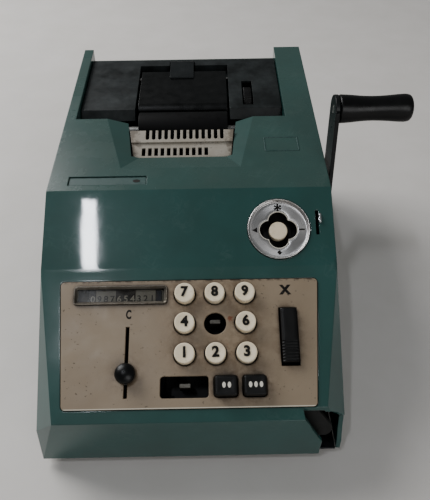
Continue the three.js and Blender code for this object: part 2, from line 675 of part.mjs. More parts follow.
const flapLeft = bayLeft + 2;
const flapRight = bayRight - 1.7;
const flapTop = coverTop + 0.2;
const flapProfile = [
  [flapRear, flapTop], [flapFront, flapTop], [flapFront - 3, flapTop - 1], [flapFront - 5, flapTop - 3],
  [flapFront - 5.8, flapTop - 5.4], [flapFront - 3.9, flapTop - 5.6], [flapFront - 3, flapTop - 3.6],
  [flapFront + 0.5, flapTop - 2], [flapRear, flapTop - 2],
];
const flap = prismX(flapProfile, flapLeft, flapRight)
  .add(rodX(2.6, flapLeft, flapRight, flapAxis.s, flapAxis.h, 16))
  .subtract(rodX(flapPin + gap, flapLeft - 1, flapRight + 1, flapAxis.s, flapAxis.h));
piece(deck, 'paper_flap', flap, blackPlastic);
piece(
  deck, 'flap_hinge_pin',
  rodX(flapPin, bayLeft - 2.2, bayRight + 2.2, flapAxis.s, flapAxis.h, 12), steel,
);
const tab = prismX([
  [tabAt.front, flapTop + gap], [tabAt.front + 1, flapTop + 1.4], [tabAt.rear - 1.5, flapTop + 1.7],
  [tabAt.rear, flapTop + 1], [tabAt.rear, flapTop + gap],
], tabAt.x0, tabAt.x1);
piece(deck, 'flap_tab', tab, greyPlastic);

const platenLeft = bayLeft + 4;
const platenRight = bayRight - 2;
const platen = rodX(platenRadius, platenLeft, platenRight, platenAt.s, platenAt.h, 40)
  .subtract(rodX(platenShaft + gap, platenLeft - 1, platenRight + 1, platenAt.s, platenAt.h));
piece(deck, 'platen_roller', platen, rubber);
piece(deck, 'platen_shaft', rodX(platenShaft, -rodEnd, rodEnd, platenAt.s, platenAt.h, 20), steel);
let wheel = rodX(
  wheelRadius, wheelX - wheelWidth / 2, wheelX + wheelWidth / 2, wheelAt.s, wheelAt.h, 48,
);
wheel = wheel.subtract(rodX(2.5 + gap, wheelX - 9, wheelX + 9, wheelAt.s, wheelAt.h));
piece(deck, 'feed_thumbwheel', wheel, blackPlastic);
piece(deck, 'thumbwheel_axle', rodX(2.5, wheelX - 8, rodEnd, wheelAt.s, wheelAt.h, 16), steel);

const spindle = union([
  rodX(3, -rodEnd, rodEnd, spindleAt.s, spindleAt.h, 16),
  rodX(9, -38, -36, spindleAt.s, spindleAt.h), rodX(9, 24, 26, spindleAt.s, spindleAt.h),
]);
piece(deck, 'paper_spindle', spindle, blackPlastic);

// type guide and comb in front of the platen
const guideGroup = new THREE.Group();
guideGroup.name = 'type_guide_frame';
guideGroup.position.set(0, 43, -9);
guideGroup.rotation.x = rad(13.7);
deck.add(guideGroup);
const guideLength = 27.2;
const guideSplit = 16.2;
const guideLeft = (y) => wellInner.leftFront + 0.8
  + ((wellInner.left - wellInner.leftFront) * y) / (openingFront - wellInner.front);
const guideRight = (y) => wellInner.rightFront - 0.8
  + ((wellInner.right - wellInner.rightFront) * y) / (openingFront - wellInner.front);
let typeGuide = prism([
  [guideLeft(0), 0], [guideRight(0), 0], [guideRight(guideSplit), guideSplit],
  [guideLeft(guideSplit), guideSplit],
], -1.2, 0);
for (let i = 0; i < 11; i += 1) {
  const x = -35.6 + i * typePitch;
  typeGuide = typeGuide.subtract(box(x - 1.4, x + 1.4, 3.9, 11.2, -3, 3));
}
piece(guideGroup, 'type_guide', typeGuide, creamPlastic);
let comb = prism([
  [guideLeft(15.6), 15.6], [guideRight(15.6), 15.6], [guideRight(guideLength), guideLength],
  [guideLeft(guideLength), guideLength],
], gap, 1.5);
const combX = (i) => -33 + i * typePitch;
for (let i = 0; i < 13; i += 1) {
  comb = comb
    .subtract(box(combX(i) - 1.4, combX(i) + 1.4, 19.6, 30, -3, 3))
    .subtract(rodZ(1.4, -3, 3, combX(i), 19.6, 12));
}
piece(guideGroup, 'type_comb', comb, creamPlastic);
let typeBank = box(combX(0) - 2, combX(12) + 2, 60, 68, -64, -58);
for (let i = 0; i < 13; i += 1) {
  typeBank = typeBank.add(box(combX(i) - 0.9, combX(i) + 0.9, 60, 68, -60, -11));
}
piece(deck, 'type_bank', typeBank, darkSteel);
piece(deck, 'name_plate', box(-84.8, -30.4, 6, 14.2, -1.2, -0.8), shellPlastic);

// ---- crank -----------------------------------------------------------------------------------------
const bushing = rodX(bushingRadius, half - wall - 2, half + 1.2, pivot.y, pivot.z)
  .subtract(rodX(crankShaft + gap, half - 10, half + 10, pivot.y, pivot.z));
piece(machine, 'crank_bushing', bushing, blackPlastic);
const armOuter = armInner + armThickness;
piece(machine, 'crank_shaft', rodX(crankShaft, 60, armOuter + 1, pivot.y, pivot.z), steel);
const reach = Math.hypot(eye.y - pivot.y, eye.z - pivot.z);
const lean = Math.asin((hubRadius - eyeRadius) / reach);
const heading = Math.atan2(eye.z - pivot.z, eye.y - pivot.y);
const tangent = (centre, radius, side) => [
  centre.y + radius * Math.cos(heading + side * (Math.PI / 2 - lean)),
  centre.z + radius * Math.sin(heading + side * (Math.PI / 2 - lean)),
];
const arm = union([
  rodX(hubRadius, armInner, armOuter, pivot.y, pivot.z, 32),
  rodX(eyeRadius, armInner, armOuter, eye.y, eye.z, 32),
  prismX([
    tangent(pivot, hubRadius, 1), tangent(pivot, hubRadius, -1),
    tangent(eye, eyeRadius, -1), tangent(eye, eyeRadius, 1),
  ], armInner, armOuter),
])
  .subtract(rodX(crankShaft + gap, armInner - 1, armOuter + 1, pivot.y, pivot.z))
  .subtract(rodX(studRadius + gap, armInner - 1, armOuter + 1, eye.y, eye.z));
piece(machine, 'crank_arm', arm, blackPlastic);
const gripStart = armOuter + 0.4;
const gripEnd = gripStart + gripLength;
const gripPoints = [
  [studRadius + gap, gripEnd - 3], [studRadius + gap, gripStart], [8.8, gripStart],
  [eyeRadius, gripStart + 1], [9.3, gripStart + 8], [8.4, gripStart + 17], [8.2, gripStart + 24],
  [8.6, gripStart + 33], [9.3, gripStart + 41], [9.5, gripEnd - 5], [9, gripEnd - 2.2],
  [7.4, gripEnd - 0.6], [5, gripEnd],
].map(([r, x]) => new THREE.Vector2(r, x));
gripPoints.unshift(new THREE.Vector2(0, gripEnd - 3));
gripPoints.push(new THREE.Vector2(0, gripEnd));
const grip = new THREE.LatheGeometry(gripPoints, 32);
grip.rotateZ(-Math.PI / 2);
grip.translate(0, eye.y, eye.z);
piece(machine, 'crank_grip', manifold(grip), blackPlastic);
piece(machine, 'grip_stud', rodX(studRadius, armInner + 0.2, gripEnd - 3.4, eye.y, eye.z, 20), steel);

const sectorEnd = { y: pivot.y + 32, z: pivot.z - 21 };
const sectorAt = rodEnd + 1;
const sectorOuter = sectorAt + 3;
const sector = union([
  rodX(11, sectorAt, sectorOuter, pivot.y, pivot.z),
  rodX(5, sectorAt, sectorOuter, sectorEnd.y, sectorEnd.z),
  prismX([
    [pivot.y - 6, pivot.z - 9], [sectorEnd.y - 2.6, sectorEnd.z - 4.2],
    [sectorEnd.y + 2.6, sectorEnd.z + 4.2], [pivot.y + 5, pivot.z + 9.5],
  ].reverse(), sectorAt, sectorOuter),
]).subtract(rodX(crankShaft + gap, sectorAt - 1, sectorOuter + 1, pivot.y, pivot.z));
piece(machine, 'crank_sector', sector, darkSteel);

class Coil extends THREE.Curve {
  getPoint(u, target = new THREE.Vector3()) {
    const turns = 9;
    const angle = 2 * Math.PI * turns * u;
    return target.set(
      sectorOuter + 5.2 + 4 * Math.cos(angle),
      sectorEnd.y + 10 + 60 * u,
      sectorEnd.z - 2 - 16 * u + 4 * Math.sin(angle),
    );
  }
}
const wire = outline([[0.8, 0], [0.25, 0.76], [-0.65, 0.47], [-0.65, -0.47], [0.25, -0.76]]);
const coil = new THREE.ExtrudeGeometry(wire, {
  steps: 90, bevelEnabled: false, extrudePath: new Coil(),
});
piece(machine, 'crank_spring', manifold(coil), steel);

// black bracket that shows through the broken corner: a rounded tongue in front of an upright
const bracketY = frontY + 7.5;
const tongue = prism(rounded([
  [66, 47], [66, 38], [79, 17], [89.5, 17], [91, 26], [79, 47],
], 4.5), 0, 3);
const tonguePlace = new THREE.Matrix4().set(1, 0, 0, 0, 0, 0, -1, bracketY + 3, 0, 1, 0, 0, 0, 0, 0, 1);
const bracket = union([
  tongue.transform(tonguePlace.elements),
  prismX(rounded(rectangle(bracketY, bracketY + 4, floor, 40), 1.5), 70, 78),
]);
piece(machine, 'corner_bracket', bracket, blackPlastic);

// ---- origin: on the desk top, at the middle of the space that the machine fills ------------------------
machine.position.set((half - gripEnd) / 2, 0, footHeight);
machine.updateMatrixWorld(true);

export default machine;
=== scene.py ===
import json
import math

import bmesh
import bpy
import numpy as np
from mathutils import Matrix, Vector


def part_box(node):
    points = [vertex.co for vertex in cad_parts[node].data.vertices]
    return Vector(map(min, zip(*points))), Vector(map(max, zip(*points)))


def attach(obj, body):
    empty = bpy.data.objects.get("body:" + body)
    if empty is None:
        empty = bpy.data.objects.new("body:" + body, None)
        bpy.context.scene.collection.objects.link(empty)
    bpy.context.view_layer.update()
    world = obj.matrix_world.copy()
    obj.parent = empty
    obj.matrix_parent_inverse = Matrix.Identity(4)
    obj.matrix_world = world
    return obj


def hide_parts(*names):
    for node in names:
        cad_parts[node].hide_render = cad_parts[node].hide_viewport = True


# Hand-cranked desk calculator. Lengths in the script are millimetres, except the studio's; meshes are metres.

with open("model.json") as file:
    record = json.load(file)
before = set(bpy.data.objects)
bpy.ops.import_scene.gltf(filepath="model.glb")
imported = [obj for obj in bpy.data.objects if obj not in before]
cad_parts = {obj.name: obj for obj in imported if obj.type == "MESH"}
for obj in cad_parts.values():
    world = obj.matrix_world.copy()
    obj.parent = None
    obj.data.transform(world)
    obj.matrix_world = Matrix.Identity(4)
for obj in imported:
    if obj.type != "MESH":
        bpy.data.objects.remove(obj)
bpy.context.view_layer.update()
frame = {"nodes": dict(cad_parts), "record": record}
nodes = frame["nodes"]
bodyOf = {node: body for body, members in frame["record"]["behaviour"]["bodies"].items() for node in members}
print("frame loaded:", len(nodes), "nodes")


# The three sloping faces of the housing. Each has its own across, up-slope and outward directions.

slopes = {
    "boardTilt": 27.2,       # degrees above the desk
    "bandTilt": 33.0,
    "deckTilt": 6.85,
    "bandLength": 56.0,
    "panelTop": 9.2,         # where the keyboard panel starts and ends, down from the crease
    "panelBottom": 90.8,
    "panelProud": 0.9,
}


def boxMm(node):
    low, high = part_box(node)
    return np.array(low) * 1000, np.array(high) * 1000


def slopeFace(origin, degrees):
    # point = origin + x across + s along the slope + h along the slope's normal
    tilt = math.radians(degrees)
    across = np.array((1.0, 0.0, 0.0))
    along = np.array((0.0, math.cos(tilt), math.sin(tilt)))
    out = np.array((0.0, -math.sin(tilt), math.cos(tilt)))

    def place(x, s, h):
        x, s, h = np.broadcast_arrays(*(np.asarray(v, float) for v in (x, s, h)))
        return (origin + x[..., None] * across + s[..., None] * along + h[..., None] * out) / 1000

    return place


def findCrease():
    # the line where board and band meet, from the keyboard panel's box
    tilt = math.radians(slopes["boardTilt"])
    low, high = boxMm("keyboard_panel")
    y = low[1] + slopes["panelBottom"] * math.cos(tilt) + slopes["panelProud"] * math.sin(tilt)
    z = high[2] + slopes["panelTop"] * math.sin(tilt) - slopes["panelProud"] * math.cos(tilt)
    shellLow, shellHigh = boxMm("housing_shell")
    return np.array(((shellLow[0] + shellHigh[0]) / 2, y, z))


crease = findCrease()
onBoard = slopeFace(crease, slopes["boardTilt"])
onBand = slopeFace(crease, slopes["bandTilt"])
ridge = onBand(0, slopes["bandLength"], 0) * 1000
onDeck = slopeFace(ridge, slopes["deckTilt"])


def acrossFace(node):
    # for things that turn about a line along x: a, b run round it, h runs along x
    low, high = boxMm(node)
    middle = (low + high) / 2

    def place(a, b, h):
        a, b, h = np.broadcast_arrays(*(np.asarray(v, float) for v in (a, b, h)))
        return np.stack((h, middle[1] + a, middle[2] + b), -1) / 1000

    return place


# Camera first, then light and floor.

cameraAt = {
    "fromCrease": (16.16, -262.35, 251.49),
    "down": 42.0,            # degrees below the horizon
    "yaw": 0.284,            # degrees to the right
    "roll": 0.820,
    "lens": 39.14,
}


def makeCamera():
    data = bpy.data.cameras.new("viewCamera")
    data.lens = cameraAt["lens"]
    data.sensor_width = 36.0
    data.clip_start, data.clip_end = 0.01, 20
    camera = bpy.data.objects.new("viewCamera", data)
    bpy.context.scene.collection.objects.link(camera)
    down, yaw, roll = (math.radians(cameraAt[k]) for k in ("down", "yaw", "roll"))
    forward = Vector((math.sin(yaw) * math.cos(down), math.cos(yaw) * math.cos(down), -math.sin(down)))
    right = Vector((math.cos(yaw), -math.sin(yaw), 0))
    below = forward.cross(right)
    turnedRight = right * math.cos(roll) + below * math.sin(roll)
    turnedBelow = below * math.cos(roll) - right * math.sin(roll)
    turn = Matrix((turnedRight, -turnedBelow, -forward)).transposed().to_4x4()
    place = Vector(crease / 1000) + Vector(cameraAt["fromCrease"]) / 1000
    camera.matrix_world = Matrix.Translation(place) @ turn
    bpy.context.scene.camera = camera
    return place, -turnedBelow


eye, eyeUp = makeCamera()


def linear(code):
    # sRGB hex to linear, opaque
    parts = [int(code[i:i + 2], 16) / 255 for i in (1, 3, 5)]
    return tuple(c / 12.92 if c <= 0.04045 else ((c + 0.055) / 1.055) ** 2.4 for c in parts) + (1.0,)


def mirrored(way, normal):
    return way - 2 * way.dot(normal) * normal


def areaLight(name, at, towards, size, power, colour, up=Vector((0, 1, 0))):
    data = bpy.data.lights.new(name, "AREA")
    data.shape = "RECTANGLE"
    data.size, data.size_y = size
    data.energy = power
    data.color = linear(colour)[:3]
    lamp = bpy.data.objects.new(name, data)
    bpy.context.scene.collection.objects.link(lamp)
    back = (Vector(at) - Vector(towards)).normalized()
    side = up.cross(back).normalized()
    turn = Matrix((side, back.cross(side), back)).transposed().to_4x4()
    lamp.matrix_world = Matrix.Translation(at) @ turn
    return lamp


studio = {  # metres, but windowOn is millimetres on the band
    "sky": "#dfe3e4", "skyPower": 0.21,
    "windowPower": 6.5, "windowSize": (0.062, 0.31), "windowFar": 2.2, "windowOn": (-68, 25),
    "leftPower": 33.0, "leftAt": (-1.1, 0.75, 1.2), "leftSize": (1.0, 1.0),
    "frontPower": 11.0, "frontAt": (0.7, -1.6, 0.8), "frontSize": (1.2, 0.8),
}


def makeLight():
    world = bpy.data.worlds.new("studioSky")
    world.use_nodes = True
    back = world.node_tree.nodes["Background"]
    back.inputs["Color"].default_value = linear(studio["sky"])
    back.inputs["Strength"].default_value = studio["skyPower"]
    bpy.context.scene.world = world
    bandNormal = Vector(onBand(0, 0, 1) - onBand(0, 0, 0)).normalized()
    spot = Vector(onBand(*studio["windowOn"], 0))
    windowAt = spot + mirrored((spot - eye).normalized(), bandNormal) * studio["windowFar"]
    areaLight("windowLight", windowAt, spot, studio["windowSize"], studio["windowPower"], "#f4f8ff",
              mirrored(eyeUp, bandNormal))
    for name in ("left", "front"):
        areaLight(name + "Light", studio[name + "At"], (0, 0, 0), studio[name + "Size"],
                  studio[name + "Power"], "#ffffff")


makeLight()


# Small helpers for meshes.

def newPiece(name, mesh):
    piece = bpy.data.objects.new(name, mesh)
    bpy.context.scene.collection.objects.link(piece)
    return piece


def tidyMesh(mesh, sharp):
    shape = bmesh.new()
    shape.from_mesh(mesh)
    bmesh.ops.remove_doubles(shape, verts=shape.verts, dist=2e-6)
    bmesh.ops.dissolve_degenerate(shape, edges=shape.edges, dist=1e-6)
    bmesh.ops.recalc_face_normals(shape, faces=shape.faces)
    shape.to_mesh(mesh)
    shape.free()
    mesh.shade_smooth()
    mesh.set_sharp_from_angle(angle=math.radians(sharp))


def surface(name, points, wrapU=False, wrapV=False, sharp=38):
    # a grid of points (u, v, xyz), closed along u or v where asked, poles merged
    rows, columns = points.shape[:2]
    index = np.arange(rows * columns).reshape(rows, columns)
    if wrapU:
        index = np.concatenate((index, index[:1]), 0)
    if wrapV:
        index = np.concatenate((index, index[:, :1]), 1)
    quads = np.stack((index[:-1, :-1], index[1:, :-1], index[1:, 1:], index[:-1, 1:]), -1).reshape(-1, 4)
    mesh = bpy.data.meshes.new(name)
    mesh.from_pydata(points.reshape(-1, 3).tolist(), [], quads.tolist())
    tidyMesh(mesh, sharp)
    return newPiece(name, mesh)


def softened(points, reach, steps=6):
    # each inner corner of an open outline becomes a parabola that starts and ends `reach` from it
    p = np.array(points, float)
    corner = p[1:-1]
    back, ahead = p[:-2] - corner, p[2:] - corner
    backLength = np.linalg.norm(back, axis=1, keepdims=True)
    aheadLength = np.linalg.norm(ahead, axis=1, keepdims=True)
    r = np.minimum(np.broadcast_to(np.asarray(reach, float), len(corner))[:, None],
                   0.49 * np.minimum(backLength, aheadLength))
    start, end = corner + back / backLength * r, corner + ahead / aheadLength * r
    t = np.linspace(0, 1, steps)[None, :, None]
    bend = (1 - t) ** 2 * start[:, None] + 2 * t * (1 - t) * corner[:, None] + t ** 2 * end[:, None]
    return np.concatenate((p[:1], bend.reshape(-1, 2), p[-1:]))


def turned(name, place, centre, profile, steps=72, sharp=38, wave=None):
    # profile points are (radius, height); the grid is radius times cos and sin of the angle round the centre
    angle = np.linspace(0, 2 * np.pi, steps, endpoint=False)[:, None]
    radius, height = np.array(profile, float).T
    radius = np.broadcast_to(radius, (steps, len(radius)))
    if wave is not None:
        radius = wave(angle, radius, height)
    points = place(centre[0] + radius * np.cos(angle), centre[1] + radius * np.sin(angle), height + 0 * angle)
    return surface(name, points, wrapU=True, sharp=sharp)


def roundedOutline(halfX, halfY, radius, steps=6):
    # corner centres and unit directions of a rounded rectangle, anticlockwise
    turns = np.linspace(0, np.pi / 2, steps)
    angle = (np.arange(4)[:, None] * np.pi / 2 + turns).ravel()
    signX = np.repeat((1, -1, -1, 1), steps)
    signY = np.repeat((1, 1, -1, -1), steps)
    centres = np.stack((signX * (halfX - radius), signY * (halfY - radius)), -1)
    return centres, np.stack((np.cos(angle), np.sin(angle)), -1)


def pillow(name, place, centre, size, corner, profile, wrapV=False, steps=6):
    # a rounded rectangle carried through (inset, scale, height) rings
    centres, ways = roundedOutline(size[0] / 2, size[1] / 2, corner, steps)
    inset, scale, height = np.array(profile, float).T
    reach = np.maximum(corner - inset, 0.05)[None, :, None]
    flat = (centres[:, None] + ways[:, None] * reach) * scale[None, :, None]
    points = place(centre[0] + flat[..., 0], centre[1] + flat[..., 1], height[None] + 0 * flat[..., 0])
    return surface(name, points, wrapU=True, wrapV=wrapV, sharp=38)


def merged(node):
    # the CAD node's surface with its loose triangles joined and flat regions made whole
    shape = bmesh.new()
    shape.from_mesh(nodes[node].data)
    bmesh.ops.remove_doubles(shape, verts=shape.verts, dist=5e-6)
    bmesh.ops.dissolve_limit(shape, angle_limit=math.radians(0.6), verts=shape.verts, edges=shape.edges)
    return shape


def eased(node, name, width, above=25):
    # a copy of the node whose sharp edges are rounded over `width` mm
    shape = merged(node)
    weight = shape.edges.layers.float.new("bevel_weight_edge")
    for edge in shape.edges:
        if len(edge.link_faces) != 2:
            continue
        turn = math.degrees(edge.calc_face_angle(0))
        if turn > above:
            edge[weight] = 1.0
    mesh = bpy.data.meshes.new(name)
    shape.to_mesh(mesh)
    shape.free()
    mesh.shade_smooth()
    mesh.set_sharp_from_angle(angle=math.radians(30))
    piece = newPiece(name, mesh)
    bevel = piece.modifiers.new("easedEdges", "BEVEL")
    bevel.limit_method = "WEIGHT"
    bevel.width = width / 1000
    bevel.segments = 3
    bevel.use_clamp_overlap = False
    bevel.loop_slide = False
    bevel.harden_normals = True
    return piece


def standFor(piece, node, look):
    # the piece replaces a CAD node and moves as it did
    piece.data.materials.append(look)
    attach(piece, bodyOf[node])
    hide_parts(node)
    return piece


def refinish(node, look):
    # the CAD node keeps its shape
    nodes[node].data.materials.clear()
    nodes[node].data.materials.append(look)


def addOn(piece, body, look):
    piece.data.materials.append(look)
    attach(piece, body)
    return piece


def lettering(name, text, height, place, centre, level, body, look, weight=0.0, depth=0.1, narrow=1.0):
    # printed or inlaid mark: a text outline made a thin mesh, scaled to its height and laid on a face
    curve = bpy.data.curves.new(name, "FONT")
    curve.body = text
    curve.extrude = 0.5
    curve.offset = weight
    curve.resolution_u = 6
    temporary = bpy.data.objects.new(name + "Draft", curve)
    bpy.context.scene.collection.objects.link(temporary)
    bpy.context.view_layer.update()
    mesh = bpy.data.meshes.new_from_object(temporary.evaluated_get(bpy.context.evaluated_depsgraph_get()))
    bpy.data.objects.remove(temporary)
    mesh.name = name
    co = np.empty(len(mesh.vertices) * 3, np.float32)
    mesh.vertices.foreach_get("co", co)
    co = co.reshape(-1, 3).astype(float)
    low, high = co.min(0), co.max(0)
    scale = height / (high[1] - low[1])
    flat = (co[:, :2] - (low[:2] + high[:2]) / 2) * scale * np.array((narrow, 1.0))
    points = place(centre[0] + flat[:, 0], centre[1] + flat[:, 1], level + depth * (co[:, 2] > 0))
    mesh.vertices.foreach_set("co", points.astype(np.float32).ravel())
    tidyMesh(mesh, 30)
    return addOn(newPiece(name, mesh), body, look)


def ellipse(halfX, halfY, steps):
    angle = np.linspace(0, 2 * np.pi, steps, endpoint=False)
    return np.stack((halfX * np.cos(angle), halfY * np.sin(angle)), -1)


def flatMark(name, outline, place, centre, level, body, look, depth=0.1):
    # a filled outline given thickness: its own ring at two heights, with a middle point closing each side
    ring = np.array(outline, float)
    middle = ring.mean(0)
    rings = np.stack((0 * ring + middle, ring, ring, 0 * ring + middle), 1)
    heights = level + np.array((0, 0, depth, depth))[None] + 0 * rings[..., 0]
    points = place(centre[0] + rings[..., 0], centre[1] + rings[..., 1], heights)
    return addOn(surface(name, points, wrapU=True, sharp=30), body, look)


# Materials. One function adds a node, everything else is a recipe for one real finish.

def addNode(tree, kind, settings=None, links=None):
    node = tree.nodes.new(kind)
    for key, value in (settings or {}).items():
        if isinstance(key, int) or key in node.inputs:
            node.inputs[key].default_value = value
        else:
            setattr(node, key, value)
    for key, source in (links or {}).items():
        tree.links.new(source, node.inputs[key])
    return node


def newFinish(name, **values):
    # an empty material with its shader and the object's own coordinates in millimetres
    look = bpy.data.materials.new(name)
    look.use_nodes = True
    tree = look.node_tree
    tree.nodes.clear()
    out = addNode(tree, "ShaderNodeOutputMaterial")
    shader = addNode(tree, "ShaderNodeBsdfPrincipled", values)
    tree.links.new(shader.outputs[0], out.inputs["Surface"])
    where = addNode(tree, "ShaderNodeTexCoord").outputs["Object"]
    mm = addNode(tree, "ShaderNodeVectorMath", {"operation": "SCALE", "Scale": 1000.0}, {0: where}).outputs[0]
    return look, tree, shader, mm


def noise(tree, mm, size, detail=3.0, rough=0.55, stretch=(1, 1, 1)):
    # noise whose blobs are about `size` mm across
    scaled = addNode(tree, "ShaderNodeMapping", {"Scale": tuple(s / size for s in stretch)}, {"Vector": mm})
    return addNode(tree, "ShaderNodeTexNoise", {"Scale": 1.0, "Detail": detail, "Roughness": rough},
                   {"Vector": scaled.outputs[0]}).outputs["Fac"]


def spread(tree, value, low, high, toLow=0.0, toHigh=1.0):
    return addNode(tree, "ShaderNodeMapRange", {1: low, 2: high, 3: toLow, 4: toHigh},
                   {0: value}).outputs[0]


def blendColour(tree, amount, first, second):
    mix = addNode(tree, "ShaderNodeMix", {"data_type": "RGBA", "blend_type": "MIX"})
    for key, value in ((0, amount), (6, first), (7, second)):
        if isinstance(value, (tuple, float, int)):
            mix.inputs[key].default_value = value
        else:
            tree.links.new(value, mix.inputs[key])
    return mix.outputs[2]


def combine(tree, how, first, second):
    node = addNode(tree, "ShaderNodeMath", {"operation": how})
    for key, value in ((0, first), (1, second)):
        if isinstance(value, (float, int)):
            node.inputs[key].default_value = value
        else:
            tree.links.new(value, node.inputs[key])
    return node.outputs[0]


def relief(tree, shader, height, deep, before=None):
    # deep is the real height of the relief in mm; by itself every corner is worn round by a quarter of one
    if before is None:
        before = addNode(tree, "ShaderNodeBevel", {"samples": 6, "Radius": 0.25 / 1000}).outputs[0]
    bump = addNode(tree, "ShaderNodeBump", {"Distance": deep / 1000}, {"Height": height, "Normal": before})
    tree.links.new(bump.outputs[0], shader.inputs["Normal"])
    return bump.outputs[0]


def corners(tree, reach, low=0.35, high=0.95):
    # 1 where other surfaces are close by: painted shade for the corners light can't reach, and where dirt
    #                                      stays
    openness = addNode(tree, "ShaderNodeAmbientOcclusion",
                       {"samples": 6, "Distance": reach / 1000}).outputs["AO"]
    return spread(tree, openness, low, high, 1.0, 0.0)


def scratches(tree, mm, size, turn, thin=0.03):
    # fine straight-ish lines: a stretched noise where it crosses its middle value
    turnedMm = addNode(tree, "ShaderNodeMapping", {"Rotation": (0, 0, turn)}, {"Vector": mm}).outputs[0]
    lines = noise(tree, turnedMm, size, 2.0, 0.5, (0.06, 1.0, 1.0))
    away = combine(tree, "ABSOLUTE", combine(tree, "SUBTRACT", lines, 0.5), 0.0)
    return spread(tree, away, 0.0, thin, 1.0, 0.0)


def makeHousingAbs():
    # ABS, injection moulded in a polished tool: an even gloss with a faint waviness that bends reflections.
    # Handling leaves dull smears, hairline scratches, and grey dust that settles on the flatter faces.
    look, tree, shader, mm = newFinish("housingAbs", Roughness=0.2, IOR=1.53)
    shader.inputs["Specular IOR Level"].default_value = 0.3
    shader.inputs["Coat Weight"].default_value = 0.15  # a hazy film of polish and fine wear over the gloss
    shader.inputs["Coat Roughness"].default_value = 0.31
    cloud = noise(tree, mm, 42, 4, 0.6)
    smear = spread(tree, noise(tree, mm, 16, 5, 0.68, (1, 0.55, 1)), 0.42, 0.72)
    base = blendColour(tree, spread(tree, cloud, 0.3, 0.7), linear("#1a413e"), linear("#1f4b48"))
    facing = addNode(tree, "ShaderNodeSeparateXYZ", {},
                     {0: addNode(tree, "ShaderNodeNewGeometry").outputs["Normal"]})
    dustMask = combine(tree, "MULTIPLY", spread(tree, facing.outputs["Z"], 0.86, 0.985, 0.0, 1.0),
                       spread(tree, noise(tree, mm, 28, 5, 0.62), 0.2, 0.8, 0.55, 1.0))
    dusty = blendColour(tree, combine(tree, "ADD", 0.16, combine(tree, "MULTIPLY", dustMask, 0.3)), base,
                        linear("#434a43"))
    lines = combine(tree, "MAXIMUM", scratches(tree, mm, 5, 0.5), scratches(tree, mm, 7, -1.1))
    lines = combine(tree, "MULTIPLY", lines, spread(tree, noise(tree, mm, 22, 2), 0.5, 0.75))
    scuffed = blendColour(tree, combine(tree, "MULTIPLY", lines, 0.05), dusty, linear("#8fa09b"))
    # painted shade, with some dirt: darker green-black in corners and recesses, where other surfaces are
    # close
    darkened = blendColour(tree, combine(tree, "MULTIPLY", corners(tree, 1.6), 0.75), scuffed, linear("#0b1412"))
    tree.links.new(darkened, shader.inputs["Base Color"])
    gloss = combine(tree, "ADD", spread(tree, smear, 0, 1, 0.03, 0.06),
                    combine(tree, "MULTIPLY", dustMask, 0.3))
    tree.links.new(gloss, shader.inputs["Roughness"])
    # the crease between board and band is a wide soft valley, other edges are barely broken
    across = addNode(tree, "ShaderNodeVectorMath", {"operation": "MULTIPLY", 1: (0.0, 1.0, 1.0)},
                     {0: mm}).outputs[0]
    away = addNode(tree, "ShaderNodeVectorMath", {"operation": "DISTANCE", 1: (0.0, *map(float, crease[1:]))},
                   {0: across}).outputs[1]
    worn = addNode(tree, "ShaderNodeBevel", {"samples": 8},
                   {"Radius": spread(tree, away, 3.0, 5.0, 0.0045, 0.0009)}).outputs[0]
    waves = relief(tree, shader, noise(tree, mm, 30, 1, 0.4), 0.05, before=worn)
    relief(tree, shader, combine(tree, "SUBTRACT", noise(tree, mm, 0.7, 2, 0.5), lines), 0.0015, before=waves)
    return look


def makeBlankGreen():
    # the housing's green ABS on the badge and the plate, where nothing rubs it bright: matt, dusty
    look, tree, shader, mm = newFinish("blankGreen", Roughness=0.5, IOR=1.53)
    worn = spread(tree, noise(tree, mm, 5, 4, 0.6), 0.35, 0.75)
    tree.links.new(blendColour(tree, worn, linear("#193b38"), linear("#2a4743")), shader.inputs["Base Color"])
    tree.links.new(spread(tree, worn, 0, 1, 0.4, 0.62), shader.inputs["Roughness"])
    relief(tree, shader, noise(tree, mm, 1.2, 3), 0.02)
    return look


panelWear = {"grimeAt": (16.7, -38.6), "rustSpotAt": (26.5, -35.4)}  # middle of the keys, right of the 5


